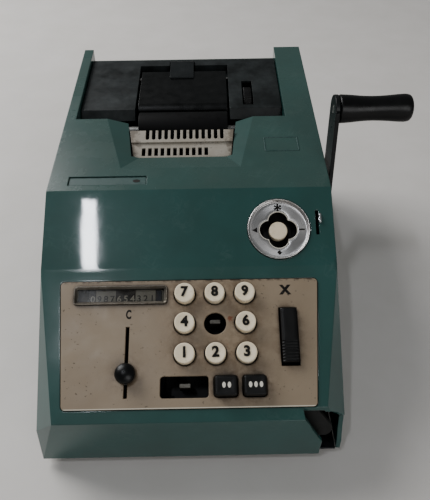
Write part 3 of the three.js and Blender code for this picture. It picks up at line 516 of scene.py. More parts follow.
def makePanelEnamel():
    # stove enamel on sheet steel: warm grey-beige, satin, with brown grime round the keys, dark specks
    # where chips reach the metal and a few rust-coloured spots; painted shade where raised parts stand close,
    # and a painted highlight along the lower edge, which is also worn pale
    look, tree, shader, mm = newFinish("panelEnamel", Roughness=0.45, IOR=1.5)
    shader.inputs["Specular IOR Level"].default_value = 0.35
    tone = blendColour(tree, spread(tree, noise(tree, mm, 35, 3), 0.3, 0.7), linear("#80715e"),
                       linear("#8a7b67"))
    keysAt = onBoard(*panelWear["grimeAt"], slopes["panelProud"]) * 1000
    near = addNode(tree, "ShaderNodeVectorMath", {"operation": "DISTANCE", 1: tuple(keysAt)},
                   {0: mm}).outputs[1]
    grimeMask = combine(tree, "MULTIPLY", spread(tree, near, 22, 46, 1.0, 0.08),
                        spread(tree, noise(tree, mm, 9, 5, 0.65), 0.44, 0.72))
    darkened = blendColour(tree, combine(tree, "MULTIPLY", grimeMask, 0.5), tone, linear("#7d6a52"))
    fleck = spread(tree, noise(tree, mm, 2.0, 3, 0.6), 0.655, 0.69)
    patch = spread(tree, noise(tree, mm, 15, 2, 0.5), 0.42, 0.54)
    fleckMask = combine(tree, "MULTIPLY", fleck, patch)
    flecked = blendColour(tree, combine(tree, "MULTIPLY", fleckMask, 0.8), darkened, linear("#3b342b"))
    rustMask = combine(tree, "MULTIPLY", spread(tree, noise(tree, mm, 3.4, 4, 0.6), 0.66, 0.72),
                       spread(tree, noise(tree, mm, 19, 2), 0.55, 0.68))
    rusty = blendColour(tree, combine(tree, "MULTIPLY", rustMask, 0.85), flecked, linear("#7a4a2b"))
    # brown haze round the keys: grime, and painted shade where the keys and other raised parts stand close
    haze = combine(tree, "MULTIPLY", corners(tree, 14, 0.68, 1.0),
                   spread(tree, noise(tree, mm, 5, 5, 0.7), 0.36, 0.6))
    rusty = blendColour(tree, combine(tree, "MULTIPLY", haze, 0.75), rusty, linear("#4c3823"))
    # painted shade: near black where keys and other parts stand close, the crescents of shadow and gap round
    # each key
    black = combine(tree, "MULTIPLY", corners(tree, 2.6, 0.55, 0.92), 0.94)
    soiled = blendColour(tree, black, rusty, linear("#17110b"))
    down = addNode(tree, "ShaderNodeVectorMath",
                   {"operation": "DOT_PRODUCT", 1: tuple(onBoard(0, -1, 0) * 1000 - crease)},
                   {0: addNode(tree, "ShaderNodeVectorMath", {"operation": "SUBTRACT", 1: tuple(crease)},
                               {0: mm}).outputs[0]})
    topEdge = combine(tree, "MULTIPLY", spread(tree, down.outputs["Value"], slopes["panelTop"] + 0.3,
                                               slopes["panelTop"] + 1.9, 1.0, 0.0),
                      spread(tree, noise(tree, mm, 6, 5, 0.7), 0.46, 0.56))
    soiled = blendColour(tree, combine(tree, "MULTIPLY", topEdge, 0.85), soiled, linear("#2b2016"))
    spotMiddle = onBoard(*panelWear["rustSpotAt"], slopes["panelProud"]) * 1000
    spotAt = addNode(tree, "ShaderNodeVectorMath", {"operation": "DISTANCE", 1: tuple(spotMiddle)},
                     {0: mm}).outputs["Value"]
    spot = spread(tree, combine(tree, "ADD", spotAt,
                                spread(tree, noise(tree, mm, 1.5, 4, 0.7), 0.3, 0.7, -1.3, 1.3)),
                  1.3, 1.9, 1.0, 0.0)
    soiled = blendColour(tree, combine(tree, "MULTIPLY", spot, 0.9), soiled, linear("#6b3a1e"))
    # painted highlight along the lower edge, where the light catches it and the enamel is also worn pale
    litAndWornEdge = spread(tree, down.outputs["Value"], slopes["panelBottom"] - 0.75, slopes["panelBottom"] - 0.35)
    tree.links.new(blendColour(tree, litAndWornEdge, soiled, linear("#d9d0be")), shader.inputs["Base Color"])
    roughness = combine(tree, "ADD", spread(tree, noise(tree, mm, 12, 4), 0.3, 0.7, 0.34, 0.46),
                        combine(tree, "MULTIPLY", combine(tree, "MAXIMUM", fleckMask, rustMask), 0.3))
    tree.links.new(roughness, shader.inputs["Roughness"])
    peel = relief(tree, shader, noise(tree, mm, 1.1, 2), 0.008)
    relief(tree, shader, combine(tree, "SUBTRACT", 1.0, fleckMask), 0.05, before=peel)
    return look


def makeKeyPlastic():
    # double-shot polystyrene: dense, creamy white, slightly translucent, with grey finger grime and
    # painted shade low on the side, where the panel is close
    look, tree, shader, mm = newFinish("keyPolystyrene", Roughness=0.38, IOR=1.59)
    shader.inputs["Subsurface Weight"].default_value = 0.08
    shader.inputs["Subsurface Radius"].default_value = (0.0012, 0.0009, 0.0006)
    tone = blendColour(tree, spread(tree, noise(tree, mm, 6, 4), 0.3, 0.7), linear("#e6d5b6"),
                       linear("#ecdec2"))
    dirt = spread(tree, noise(tree, mm, 2.6, 4, 0.65), 0.56, 0.76)
    soiled = blendColour(tree, combine(tree, "MULTIPLY", dirt, 0.35), tone, linear("#8a7d68"))
    # darker low on the cap where the panel is close: painted shade, with finger grime
    low = combine(tree, "MULTIPLY", corners(tree, 3.0, 0.45, 0.9),
                  spread(tree, noise(tree, mm, 3, 4, 0.6), 0.3, 0.6))
    tree.links.new(blendColour(tree, low, soiled, linear("#3c3226")), shader.inputs["Base Color"])
    tree.links.new(spread(tree, noise(tree, mm, 3, 4), 0.3, 0.7, 0.3, 0.48), shader.inputs["Roughness"])
    relief(tree, shader, noise(tree, mm, 0.5, 3), 0.006)
    return look


def makeDarkFinish(name, low, high, rough, dust=0.0, dustColour="#5c6366", grain=0.6, patchSize=30):
    # moulded ABS, polystyrene or phenolic, or dark enamel: a soft sheen, with cloudy dust where asked
    look, tree, shader, mm = newFinish(name, Roughness=rough, IOR=1.52)
    shader.inputs["Specular IOR Level"].default_value = 0.2
    tone = blendColour(tree, spread(tree, noise(tree, mm, 11, 4), 0.3, 0.7), linear(low), linear(high))
    cloud = combine(tree, "MULTIPLY", spread(tree, noise(tree, mm, patchSize, 5, 0.66), 0.36, 0.74),
                    spread(tree, noise(tree, mm, patchSize / 6, 4, 0.6), 0.2, 0.8, 0.5, 1.0))
    tree.links.new(blendColour(tree, combine(tree, "MULTIPLY", cloud, dust), tone, linear(dustColour)),
                   shader.inputs["Base Color"])
    sheen = combine(tree, "ADD", spread(tree, noise(tree, mm, 7, 4), 0.3, 0.7, rough - 0.06, rough + 0.08),
                    combine(tree, "MULTIPLY", cloud, 0.1 * min(1.0, dust * 3)))
    tree.links.new(sheen, shader.inputs["Roughness"])
    relief(tree, shader, noise(tree, mm, grain, 2), 0.01)
    return look


def spinAround(piece, centre):
    # texture coordinates: u goes once round the centre, v outwards, both taken from each corner's place
    mesh = piece.data
    tilt = math.radians(slopes["bandTilt"])
    co = np.empty(len(mesh.vertices) * 3, np.float32)
    mesh.vertices.foreach_get("co", co)
    flat = co.reshape(-1, 3) * 1000 - centre
    x, y = flat[:, 0], flat[:, 1] * math.cos(tilt) + flat[:, 2] * math.sin(tilt)
    corner = np.empty(len(mesh.loops), np.int32)
    mesh.loops.foreach_get("vertex_index", corner)
    count = np.empty(len(mesh.polygons), np.int32)
    mesh.polygons.foreach_get("loop_total", count)
    face = np.repeat(np.arange(len(count)), count)
    middleX = np.bincount(face, x[corner]) / count
    middleY = np.bincount(face, y[corner]) / count
    around = np.arctan2(middleY, middleX)[face]
    turn = np.arctan2(y[corner], x[corner]) - around
    u = (around + (turn + np.pi) % (2 * np.pi) - np.pi) / (2 * np.pi)
    uv = np.stack((u, np.hypot(x, y)[corner] / 25), -1)
    mesh.uv_layers.new(name="spin").data.foreach_set("uv", uv.astype(np.float32).ravel())


def makeSpunAluminium():
    # aluminium, spun then lightly polished: fine circular lines that pull highlights into a bow
    look, tree, shader, mm = newFinish("spunAluminium", Metallic=1.0, Roughness=0.3)
    centre = onBand(dial["x"], dial["s"], 0) * 1000
    bandNormal = onBand(0, 0, 1000) - onBand(0, 0, 0)
    offset = addNode(tree, "ShaderNodeVectorMath", {"operation": "SUBTRACT", 1: tuple(centre)},
                     {0: mm}).outputs[0]
    out = addNode(tree, "ShaderNodeVectorMath", {"operation": "CROSS_PRODUCT", 1: tuple(bandNormal)},
                  {0: offset}).outputs[0]
    radius = addNode(tree, "ShaderNodeVectorMath", {"operation": "LENGTH"}, {0: out}).outputs[1]
    rings = addNode(tree, "ShaderNodeTexNoise", {"noise_dimensions": "1D", "Scale": 4.0, "Detail": 4.0},
                    {"W": radius}).outputs["Fac"]
    stain = spread(tree, noise(tree, mm, 8, 5, 0.65), 0.4, 0.75)
    tree.links.new(blendColour(tree, combine(tree, "MULTIPLY", stain, 0.45), linear("#d2d0cf"),
                               linear("#8d8884")), shader.inputs["Base Color"])
    tree.links.new(combine(tree, "ADD", spread(tree, rings, 0.3, 0.7, 0.24, 0.36),
                           combine(tree, "MULTIPLY", stain, 0.12)), shader.inputs["Roughness"])
    shader.inputs["Anisotropic"].default_value = 0.75
    tangent = addNode(tree, "ShaderNodeTangent", {"direction_type": "UV_MAP", "uv_map": "spin"})
    tree.links.new(tangent.outputs[0], shader.inputs["Tangent"])
    relief(tree, shader, rings, 0.006)
    return look


def makeMetal(name, low, high, rough, stainColour="#4a4035", stain=0.25, grain=(1, 1, 1)):
    # drawn or rolled metal: directional grain and a little tarnish; the base colours say which metal
    look, tree, shader, mm = newFinish(name, Metallic=1.0, Roughness=rough)
    tone = blendColour(tree, spread(tree, noise(tree, mm, 6, 3), 0.3, 0.7), linear(low), linear(high))
    mask = spread(tree, noise(tree, mm, 3, 5, 0.65), 0.52, 0.76)
    tree.links.new(blendColour(tree, combine(tree, "MULTIPLY", mask, stain), tone, linear(stainColour)),
                   shader.inputs["Base Color"])
    lines = noise(tree, mm, 0.6, 3, 0.5, grain)
    tree.links.new(combine(tree, "ADD", spread(tree, lines, 0.3, 0.7, rough - 0.06, rough + 0.1),
                           combine(tree, "MULTIPLY", mask, 0.2)), shader.inputs["Roughness"])
    relief(tree, shader, lines, 0.008)
    return look


def makeGuideEnamel():
    # off-white enamel on the type guide: ink and oil leave brown-black stains, thickest at the ends and slots
    look, tree, shader, mm = newFinish("guideEnamel", Roughness=0.45, IOR=1.5)
    low, high = boxMm("type_guide")
    across = addNode(tree, "ShaderNodeSeparateXYZ", {}, {0: mm}).outputs["X"]
    middle, halfWidth = (low[0] + high[0]) / 2, (high[0] - low[0]) / 2
    off = combine(tree, "ABSOLUTE", combine(tree, "SUBTRACT", across, float(middle)), 0.0)
    ends = spread(tree, off, float(halfWidth * 0.8), float(halfWidth), 0.0, 1.0)
    blots = noise(tree, mm, 4.5, 5, 0.68)
    endMask = spread(tree, combine(tree, "ADD", blots, combine(tree, "MULTIPLY", ends, 0.3)), 0.55, 0.72)
    tone = blendColour(tree, spread(tree, noise(tree, mm, 9, 3), 0.3, 0.7), linear("#8f877a"),
                       linear("#9b958a"))
    tree.links.new(blendColour(tree, combine(tree, "MULTIPLY", endMask, 0.72), tone, linear("#4e4335")),
                   shader.inputs["Base Color"])
    tree.links.new(spread(tree, blots, 0.3, 0.7, 0.38, 0.55), shader.inputs["Roughness"])
    relief(tree, shader, noise(tree, mm, 0.8, 3), 0.01)
    return look


def makeLensPlastic():
    # cast acrylic window, thin, scuffed by cleaning: mostly clear, a grey haze over the figures
    look, tree, shader, mm = newFinish("lensAcrylic", Roughness=0.12, IOR=1.49)
    shader.inputs["Specular IOR Level"].default_value = 0.3
    haze = spread(tree, noise(tree, mm, 5, 5, 0.65), 0.35, 0.8)
    tree.links.new(blendColour(tree, haze, linear("#2a2824"), linear("#6f6a60")), shader.inputs["Base Color"])
    tree.links.new(spread(tree, haze, 0, 1, 0.08, 0.3), shader.inputs["Roughness"])
    tree.links.new(spread(tree, haze, 0, 1, 0.04, 0.16), shader.inputs["Alpha"])
    relief(tree, shader, scratches(tree, mm, 3, 0.3, 0.02), 0.003)
    return look


def makeRubber(name, low, high):
    # vulcanised rubber: deep black, dull, with a grey bloom
    look, tree, shader, mm = newFinish(name, Roughness=0.62, IOR=1.52)
    shader.inputs["Specular IOR Level"].default_value = 0.1
    bloom = spread(tree, noise(tree, mm, 6, 5, 0.62), 0.35, 0.8)
    tree.links.new(blendColour(tree, bloom, linear(low), linear(high)), shader.inputs["Base Color"])
    tree.links.new(spread(tree, bloom, 0, 1, 0.5, 0.72), shader.inputs["Roughness"])
    relief(tree, shader, noise(tree, mm, 0.35, 3), 0.015)
    return look


def makeInk(name, colour):
    # printed or second-shot mark: flat pigment, a little uneven where it has worn
    look, tree, shader, mm = newFinish(name, Roughness=0.65, IOR=1.5)
    shader.inputs["Specular IOR Level"].default_value = 0.15
    worn = spread(tree, noise(tree, mm, 1.2, 3), 0.5, 0.8, 0.0, 0.12)
    tree.links.new(blendColour(tree, worn, linear(colour), linear("#7d766b")), shader.inputs["Base Color"])
    relief(tree, shader, noise(tree, mm, 0.6, 2), 0.004)
    return look


dial = {"x": 61.3, "s": 26.0, "rim": 21.3, "floor": -2.6, "lobe": 6.8, "lobeOffset": 6.1}

housingAbs = makeHousingAbs()
blankGreen = makeBlankGreen()
panelEnamel = makePanelEnamel()
keyPlastic = makeKeyPlastic()
keyBlack = makeDarkFinish("keyBlackAbs", "#060606", "#0b0b0b", 0.42, 0.08, "#35332f", 0.5, 8)
coverBlack = makeDarkFinish("coverAbs", "#0f1111", "#151818", 0.34, 0.4, "#4b5152", 0.7, 24)
flapBlack = makeDarkFinish("flapAbs", "#030404", "#060707", 0.3, 0.04, "#282b2d", 0.7, 18)
gripBlack = makeDarkFinish("gripPhenolic", "#060606", "#0a0a0b", 0.3, 0.05, "#2c2d2e", 0.5, 12)
innerBlack = makeDarkFinish("innerAbs", "#0a0b0b", "#101111", 0.5, 0.15, "#38342e", 0.6, 9)
tabGrey = makeDarkFinish("tabPolystyrene", "#0f1112", "#16191a", 0.28, 0.15, "#3a3f40", 0.6, 9)
stripGrey = makeDarkFinish("numberGrey", "#6e6b60", "#7f7c71", 0.5, 0.3, "#57544c", 0.6, 6)
stripDark = makeDarkFinish("numberBlack", "#161412", "#211e1b", 0.45, 0.2, "#4b443b", 0.6, 6)
spunAluminium = makeSpunAluminium()
trimAluminium = makeMetal("bezelAluminium", "#5d574e", "#767067", 0.34, "#33281c", 0.85, (0.1, 1, 1))
leverMetal = makeMetal("leverAluminium", "#cfd2d3", "#e2e4e4", 0.22)
drawnSteel = makeMetal("drawnSteel", "#8b8a87", "#a3a29f", 0.34, "#5a4a38", 0.35, (0.1, 1, 1))
stemSteel = makeMetal("stemSteel", "#6b6862", "#7d7a73", 0.5, "#33291d", 0.5)
darkSteel = makeMetal("blackenedSteel", "#26272a", "#34363a", 0.5, "#4a3b2c", 0.35)
armEnamel = makeDarkFinish("armEnamel", "#0b0c0d", "#121415", 0.32, 0.1, "#3c3d3e", 1.4, 14)
guideEnamel = makeGuideEnamel()
lensPlastic = makeLensPlastic()
footRubber = makeRubber("footRubber", "#141415", "#2a2a2b")
platenRubber = makeRubber("platenRubber", "#040404", "#0a0a0b")
blackInk = makeInk("blackInk", "#0c0b0a")
whiteInk = makeInk("whiteInk", "#d9d4c8")
figureInk = makeInk("figureInk", "#8d887b")
print("materials made")


# Floor

def makeFloor():
    # matt white laminate: pale, nearly even, the faintest mottling
    look, tree, shader, mm = newFinish("paleFloor", Roughness=0.7, IOR=1.45)
    mottle = noise(tree, mm, 60, 5, 0.6)
    tree.links.new(blendColour(tree, spread(tree, mottle, 0.3, 0.7), linear("#c9c5c0"), linear("#d0ccc8")),
                   shader.inputs["Base Color"])
    relief(tree, shader, noise(tree, mm, 2, 3), 0.02)
    u = np.linspace(-3.0, 3.0, 7)
    across, along = np.meshgrid(u, u, indexing="ij")
    mesh = bpy.data.meshes.new("floor")
    index = np.arange(49).reshape(7, 7)
    quads = np.stack((index[:-1, :-1], index[1:, :-1], index[1:, 1:], index[:-1, 1:]), -1).reshape(-1, 4)
    mesh.from_pydata(np.stack((across, along, 0 * across - 0.0002), -1).reshape(-1, 3).tolist(), [],
                     quads.tolist())
    mesh.materials.append(look)
    newPiece("floor", mesh)


makeFloor()


# Housing: the CAD shell keeps its shape, its finish rounds the edges

refinish("housing_shell", housingAbs)

badge = {"x": 69.0, "s": 48.5, "size": (26.0, 17.0), "corner": 1.2}


def makeBadge():
    # plain moulded badge: a thin raised border and an empty field
    rings = [(0, 1, -0.05), (0, 1, 0.22), (0.25, 1, 0.3), (0.8, 1, 0.3), (1.0, 1, 0.05), (1.0, 1, -0.05)]
    border = pillow("badgeBorder", onDeck, (badge["x"], badge["s"]), badge["size"], badge["corner"], rings,
                    wrapV=True)
    addOn(border, "machine", blankGreen)


makeBadge()
standFor(eased("name_plate", "blankPlate", 0.15), "name_plate", blankGreen)
plateSpot = {"at": (-37.2, 10.1), "halves": (2.6, 1.5), "level": -0.82}
flatMark("plateSpot", ellipse(*plateSpot["halves"], 32), onDeck, plateSpot["at"], plateSpot["level"],
         "machine", stripDark, 0.12)
print("housing made")


# Keyboard

standFor(eased("keyboard_panel", "keyPanel", 0.4, above=50), "keyboard_panel", panelEnamel)

digitKey = {
    "radius": 6.65, "top": 6.6, "under": -9.0, "dish": 0.45, "edge": 0.9, "taper": 0.25,
    "pitch": 19.5, "middle": 16.7, "firstRow": 19.1, "figure": 6.9, "figureUp": 0.7, "figureWeight": 0.036,
}
wideKey = {"size": (14.1, 12.4), "corner": 1.9, "row": 78.1, "doubleX": 22.65, "tripleX": 40.45}
keyStem = {"width": 6.8, "thick": 2.4, "under": -30.0, "top": -8.0}


def makeStem(name, centre, body):
    # square shank under a cap, narrowed a touch at its foot
    rings = [(0, 0, keyStem["under"]), (0, 0.92, keyStem["under"]), (0, 1, keyStem["under"] + 2),
             (0, 1, keyStem["top"]), (0, 0, keyStem["top"])]
    stem = pillow(name, onBoard, centre, (keyStem["width"], keyStem["thick"]), 0.4, rings, steps=3)
    addOn(stem, body, keyBlack)


def makeDigitKey(digit, column, row):
    # cap: a profile turned round the key's axis, dished on top, with a rolled edge and a slight draft
    k = digitKey
    node = f"key_{digit}"
    centre = (k["middle"] + (column - 1) * k["pitch"], -(k["firstRow"] + row * k["pitch"]))
    r = k["radius"]
    dishR = np.linspace(0, r - k["edge"] - 0.35, 7)
    dish = np.stack((dishR, k["top"] - k["dish"] * (1 - (dishR / dishR[-1]) ** 2)), -1)
    side = softened([(dishR[-1], k["top"]), (r - k["taper"], k["top"]), (r, k["under"]), (0, k["under"])],
                    (k["edge"], 0.5))
    cap = turned(f"cap{digit}", onBoard, centre, np.concatenate((dish, side[1:])), 64)
    standFor(cap, node, keyPlastic)
    makeStem(f"capStem{digit}", centre, bodyOf[node])
    lettering(f"figure{digit}", str(digit), k["figure"], onBoard, (centre[0], centre[1] + k["figureUp"]),
              k["top"] - k["dish"] * 0.9, bodyOf[node], blackInk, k["figureWeight"], depth=0.42)


for row, digits in enumerate(((7, 8, 9), (4, 5, 6), (1, 2, 3))):
    for column, digit in enumerate(digits):
        if digit != 5:  # its cap is missing
            makeDigitKey(digit, column, row)


def makeWideKey(node, x, marks):
    # pillow-topped square cap with inlaid white ovals
    centre = (x, -wideKey["row"])
    top, under = digitKey["top"], digitKey["under"]
    fall = np.linspace(0, 1, 6)
    ringsTop = [(1.0, 1 - f * 0.999, top - 0.35 * math.sin(f * math.pi / 2)) for f in fall]
    edge = [(0, 1, under), (0, 1, top - 2.2), (0.1, 1, top - 1.2), (0.3, 1, top - 0.6), (0.62, 1, top - 0.14)]
    rings = [(0, 0, under)] + edge + ringsTop
    cap = pillow(node.replace("key_", "wide"), onBoard, centre, wideKey["size"], wideKey["corner"], rings)
    standFor(cap, node, keyBlack)
    makeStem(node.replace("key_", "wideStem"), centre, bodyOf[node])
    oval = ellipse(1.05, 1.75, 24)
    for i in range(marks):
        at = (centre[0] + 0.4 + (i - (marks - 1) / 2) * 3.3, centre[1] + 0.3)
        flatMark(f"{node}_mark{i}", oval, onBoard, at, top - 0.42, bodyOf[node], whiteInk, 0.34)


makeWideKey("key_double_zero", wideKey["doubleX"], 2)
makeWideKey("key_triple_zero", wideKey["tripleX"], 3)

rocker = {"x": 63.7, "from": 29.8, "to": 64.4, "width": 10.2, "top": 5.0, "under": -4.0,
          "ribs": 7, "ribPitch": 1.9, "ribDeep": 0.45}


def makeRocker():
    # the section across is a rounded block; its top height ripples into finger ribs at the lower end
    k = rocker
    length = k["to"] - k["from"]
    along = np.linspace(0, length, 150)
    across = np.linspace(-1, 1, 15)
    ribZone = k["ribs"] * k["ribPitch"]
    ripple = np.clip(np.cos(2 * np.pi * along / k["ribPitch"]), -0.3, 1)
    ribs = np.where(along > length - ribZone, k["ribDeep"] * (ripple - 1), 0)
    ends = np.minimum(along, length - along)
    roundEnd = 1.1 * (1 - np.sqrt(1 - (1 - np.clip(ends / 1.1, 0, 1)) ** 2))
    crown = 0.8 * np.abs(across) ** 8
    topHeight = k["top"] + ribs[:, None] - roundEnd[:, None] - crown[None]
    halfWidth = k["width"] / 2
    s = -(k["from"] + along)[:, None] + 0 * topHeight
    x = k["x"] + halfWidth * across[None] + 0 * topHeight
    low = np.full_like(topHeight, k["under"])
    ring = [np.concatenate((top, under[:, ::-1]), 1) for top, under in ((x, x), (s, s), (topHeight, low))]
    ring = [np.concatenate((v[:1] * 0 + v[:1].mean(), v, v[-1:] * 0 + v[-1:].mean()), 0) for v in ring]
    ring[1][0], ring[1][-1] = -k["from"], -k["to"]
    standFor(surface("rockerKey", onBoard(*ring), wrapV=True, sharp=50), "multiply_key", keyBlack)


makeRocker()

counter = {"x": -44.7, "t": 18.9, "size": (58.0, 9.6), "border": 1.5, "stripTop": -2.5}


def makeBezel():
    # folded frame carried round the window: a low outer wall, a rolled top and a slope down to the lens
    w, h = counter["size"]
    b = counter["border"]
    rings = [(0, 1, 1.2), (0, 1, 2.0), (0.25, 1, 2.35), (0.6, 1, 2.4), (1.0, 1, 2.2), (b, 1, 1.4),
             (b + 0.6, 1, 1.2)]
    frameRing = pillow("counterFrame", onBoard, (counter["x"], -counter["t"]), (w + 2 * b, h + 2 * b), 2.2,
                       rings, wrapV=True, steps=4)
    standFor(frameRing, "counter_bezel", trimAluminium)


makeBezel()
refinish("counter_lens", lensPlastic)


def makeNumberStrip():
    # a row of number-wheel faces: light and dark cells with one figure each
    low = counter["stripTop"]
    t = counter["t"]
    strip = pillow("numberStrip", onBoard, (counter["x"], -t), (60.0, 9.2), 0.4,
                   [(0, 0, low - 0.9), (0, 1, low - 0.9), (0, 1, low - 0.12), (0.1, 1, low - 0.1),
                    (0.1, 0, low - 0.1)],
                   steps=3)
    standFor(strip, "counter_strip", stripGrey)
    cells = ((-73.2, -65.7, 0), (-65.5, -61.6, 1), (-48.5, -35.5, 1), (-22.3, -18.1, 1))
    for i, (x0, x1, dark) in enumerate(cells):
        cell = pillow(f"numberCell{i}", onBoard, ((x0 + x1) / 2, -t), (x1 - x0, 9.0), 0.3,
                      [(0, 0, low - 0.12), (0, 1, low - 0.12), (0, 1, low - 0.05), (0.05, 1, low - 0.03),
                       (0.05, 0, low - 0.03)], steps=3)
        addOn(cell, "machine", stripDark if dark else tabGrey)
    block = np.array(((-2, -1.5), (2, -1.5), (2, 1.5), (-2, 1.5)), float)
    flatMark("signWindow", block, onBoard, (-69.2, -20.2), low - 0.03, "machine", stripDark, 0.04)
    for i, figure in enumerate("0987654321"):
        dark = figure in "0654"
        lettering(f"wheelFigure{figure}", figure, 4.4, onBoard, (-63.6 + i * 4.35, -20.2), low - 0.03,
                  "machine", figureInk if dark else stripDark, 0.012, 0.05)
    flatMark("decimalDot", ellipse(0.35, 0.35, 10), onBoard, (-21.3, -18.8), low - 0.03, "machine", whiteInk,
             0.05)


makeNumberStrip()

clearKnob = {"x": -39.3, "t": 69.8, "radius": 6.65, "under": 1.9, "top": 8.9}


def makeClearKnob():
    # a low mushroom turned round the knob's axis: waist, bulging side, domed crown
    k = clearKnob
    crownR = np.linspace(0, k["radius"] * 0.86, 12)
    crown = np.stack((crownR, k["top"] - 2.0 * (crownR / (k["radius"] * 0.86)) ** 2.4), -1)
    side = softened([tuple(crown[-1]), (k["radius"], k["top"] - 3.6), (k["radius"] - 0.9, k["under"] + 0.6),
                     (k["radius"] - 2.2, k["under"]), (0, k["under"])], 1.0, 8)
    knob = turned("clearKnobHead", onBoard, (k["x"], -k["t"]), np.concatenate((crown, side[1:])), 72)
    standFor(knob, "clear_knob", gripBlack)
    neck = pillow("clearKnobNeck", onBoard, (k["x"], -k["t"]), (1.5, 5.0), 0.3,
                  [(0, 0, -1.3), (0, 1, -1.3), (0, 1, 2.6), (0, 0, 2.6)], steps=3)
    addOn(neck, "clear_lever", drawnSteel)


makeClearKnob()
lettering("clearMark", "C", 6.0, onBoard, (-39.0, -31.7), slopes["panelProud"] - 0.02, "machine", blackInk,
          0.03, narrow=0.62)
lettering("timesMark", "X", 6.5, onBoard, (62.9, -16.8), slopes["panelProud"] - 0.02, "machine", blackInk,
          0.055)
print("keyboard made")


# Selector

def cloverRadius(angle):
    # the farthest of the four lobes' circles and the square between them, along each direction
    lobe, offset = dial["lobe"], dial["lobeOffset"]
    ways = np.arange(4) * np.pi / 2
    along = offset * np.cos(angle[:, None] - ways)
    lobes = along + np.sqrt(lobe ** 2 - offset ** 2 + along ** 2)
    square = offset / np.maximum(np.abs(np.cos(angle)), np.abs(np.sin(angle)))
    return np.maximum(lobes.max(1), square)


def cloverPiece(name, profile, look):
    # each profile point is (share of the rim radius, share of the clover radius, extra radius, height)
    angle = np.linspace(0, 2 * np.pi, 192, endpoint=False)
    inner = cloverRadius(angle)
    rim, clover, extra, height = np.array(profile, float).T
    radius = dial["rim"] * rim[None] + inner[:, None] * clover[None] + extra[None]
    points = onBand(dial["x"] + radius * np.cos(angle)[:, None], dial["s"] + radius * np.sin(angle)[:, None],
                    height[None] + 0 * radius)
    piece = surface(name, points, wrapU=True, wrapV=True, sharp=32)
    piece.data.materials.append(look)
    return piece


def makeDial():
    floor = dial["floor"]
    under = floor - 1.0
    rimTop = [(1, 0, 0, under), (1, 0, 0, 0.4), (1, 0, -0.12, 0.72), (1, 0, -0.35, 0.88), (1, 0, -0.6, 0.82),
              (1, 0, -0.85, 0.45), (1, 0, -1.05, -0.3), (1, 0, -1.25, floor + 0.6),
              (1, 0, -1.5, floor + 0.15), (1, 0, -1.9, floor)]
    plate = [(1 - f, f, -1.9 * (1 - f) + 1.1 * f, floor) for f in (0.25, 0.5, 0.75, 1.0)]
    inner = [(0, 1, 0.75, floor - 0.1), (0, 1, 0.62, floor - 0.45), (0, 1, 0.62, under)]
    dish = cloverPiece("dialDish", rimTop + plate + inner, spunAluminium)
    spinAround(dish, onBand(dial["x"], dial["s"], 0) * 1000)
    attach(dish, "machine")
    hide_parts("dial_plate")
    # painted highlight: a thin white band round the clover opening, where its edge catches the light
    edge = [(0, 1, 0.0, under), (0, 1, 0.0, floor - 0.05), (0, 1, 0.12, floor + 0.08),
            (0, 1, 0.4, floor + 0.08), (0, 1, 0.55, floor - 0.05), (0, 1, 0.55, under)]
    litRim = cloverPiece("cloverLitRim", edge, whiteInk)
    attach(litRim, "machine")


makeDial()


def makeDialMarks():
    floor = dial["floor"]
    ring = 16.1
    spokes = np.arange(6) * np.pi / 3
    tips = np.repeat(spokes, 3) + np.tile((-0.27, 0.27, np.pi / 6), 6)
    reach = np.tile((2.8, 2.8, 1.0), 6)
    star = np.stack((-reach * np.sin(tips), reach * np.cos(tips)), -1)
    marks = {
        "starMark": (star, (0, ring)),
        "diamondMark": ([(1.7, 0), (0, 1.9), (-1.7, 0), (0, -1.9)], (0, -ring)),
        "arrowMark": ([(1.6, 2.0), (-2.0, 0), (1.6, -2.0)], (-ring, 0)),
        "minusMark": ([(2.0, 0.5), (-2.0, 0.5), (-2.0, -0.5), (2.0, -0.5)], (ring, 0)),
    }
    for name, (outline, at) in marks.items():
        flatMark(name, outline, onBand, (dial["x"] + at[0], dial["s"] + at[1]), floor - 0.02, "machine",
                 blackInk)


makeDialMarks()

selector = {"radius": 6.35, "top": -4.2, "under": -9.5, "stalk": 3.0, "stalkUnder": -12.5}


def makeSelectorButton():
    # flat-topped button with a small rolled edge, on its stalk
    k = selector
    profile = softened([(0, k["top"]), (k["radius"], k["top"]), (k["radius"], k["under"]),
                        (k["stalk"], k["under"] - 0.2), (k["stalk"], k["stalkUnder"]), (0, k["stalkUnder"])],
                       (0.8, 0.4, 0.3, 0.3))
    button = turned("selectorHead", onBand, (dial["x"], dial["s"]), profile, 64)
    standFor(button, "selector_button", keyPlastic)


makeSelectorButton()
modeLever = {"x": 89.55, "width": 1.7, "from": 29.6, "to": 36.2, "under": -6.0, "top": 1.7}


def makeModeLever():
    # narrow pressed tab standing in its slot
    k = modeLever
    rings = [(0, 0, k["under"]), (0, 1, k["under"]), (0, 1, k["top"] - 0.3), (0.1, 1, k["top"] - 0.08),
             (0.3, 1, k["top"]), (0.3, 0, k["top"])]
    tab = pillow("sideLever", onBand, (k["x"], (k["from"] + k["to"]) / 2), (k["width"], k["to"] - k["from"]),
                 0.6, rings)
    standFor(tab, "mode_lever", leverMetal)


makeModeLever()
print("selector made")


# Cover, flap, platen and what lies under them

standFor(eased("roll_cover", "rollLid", 0.3, above=40), "roll_cover", coverBlack)
standFor(eased("paper_flap", "paperFlapPlate", 0.3, above=40), "paper_flap", flapBlack)
standFor(eased("flap_tab", "liftTab", 0.3), "flap_tab", tabGrey)
standFor(eased("type_guide", "typeGuidePlate", 0.18), "type_guide", guideEnamel)
standFor(eased("type_comb", "typeCombPlate", 0.18, above=40), "type_comb", guideEnamel)


def makePlaten():
    # a plain rubber tube with broken edges, turned round its shaft
    low, high = boxMm("platen_roller")
    radius = (high[2] - low[2]) / 2
    profile = softened([(3.4, low[0]), (radius, low[0]), (radius, high[0]), (3.4, high[0]),
                        (3.4, low[0])], 0.8)
    standFor(turned("platenRoll", acrossFace("platen_roller"), (0, 0), profile, 96), "platen_roller",
             platenRubber)


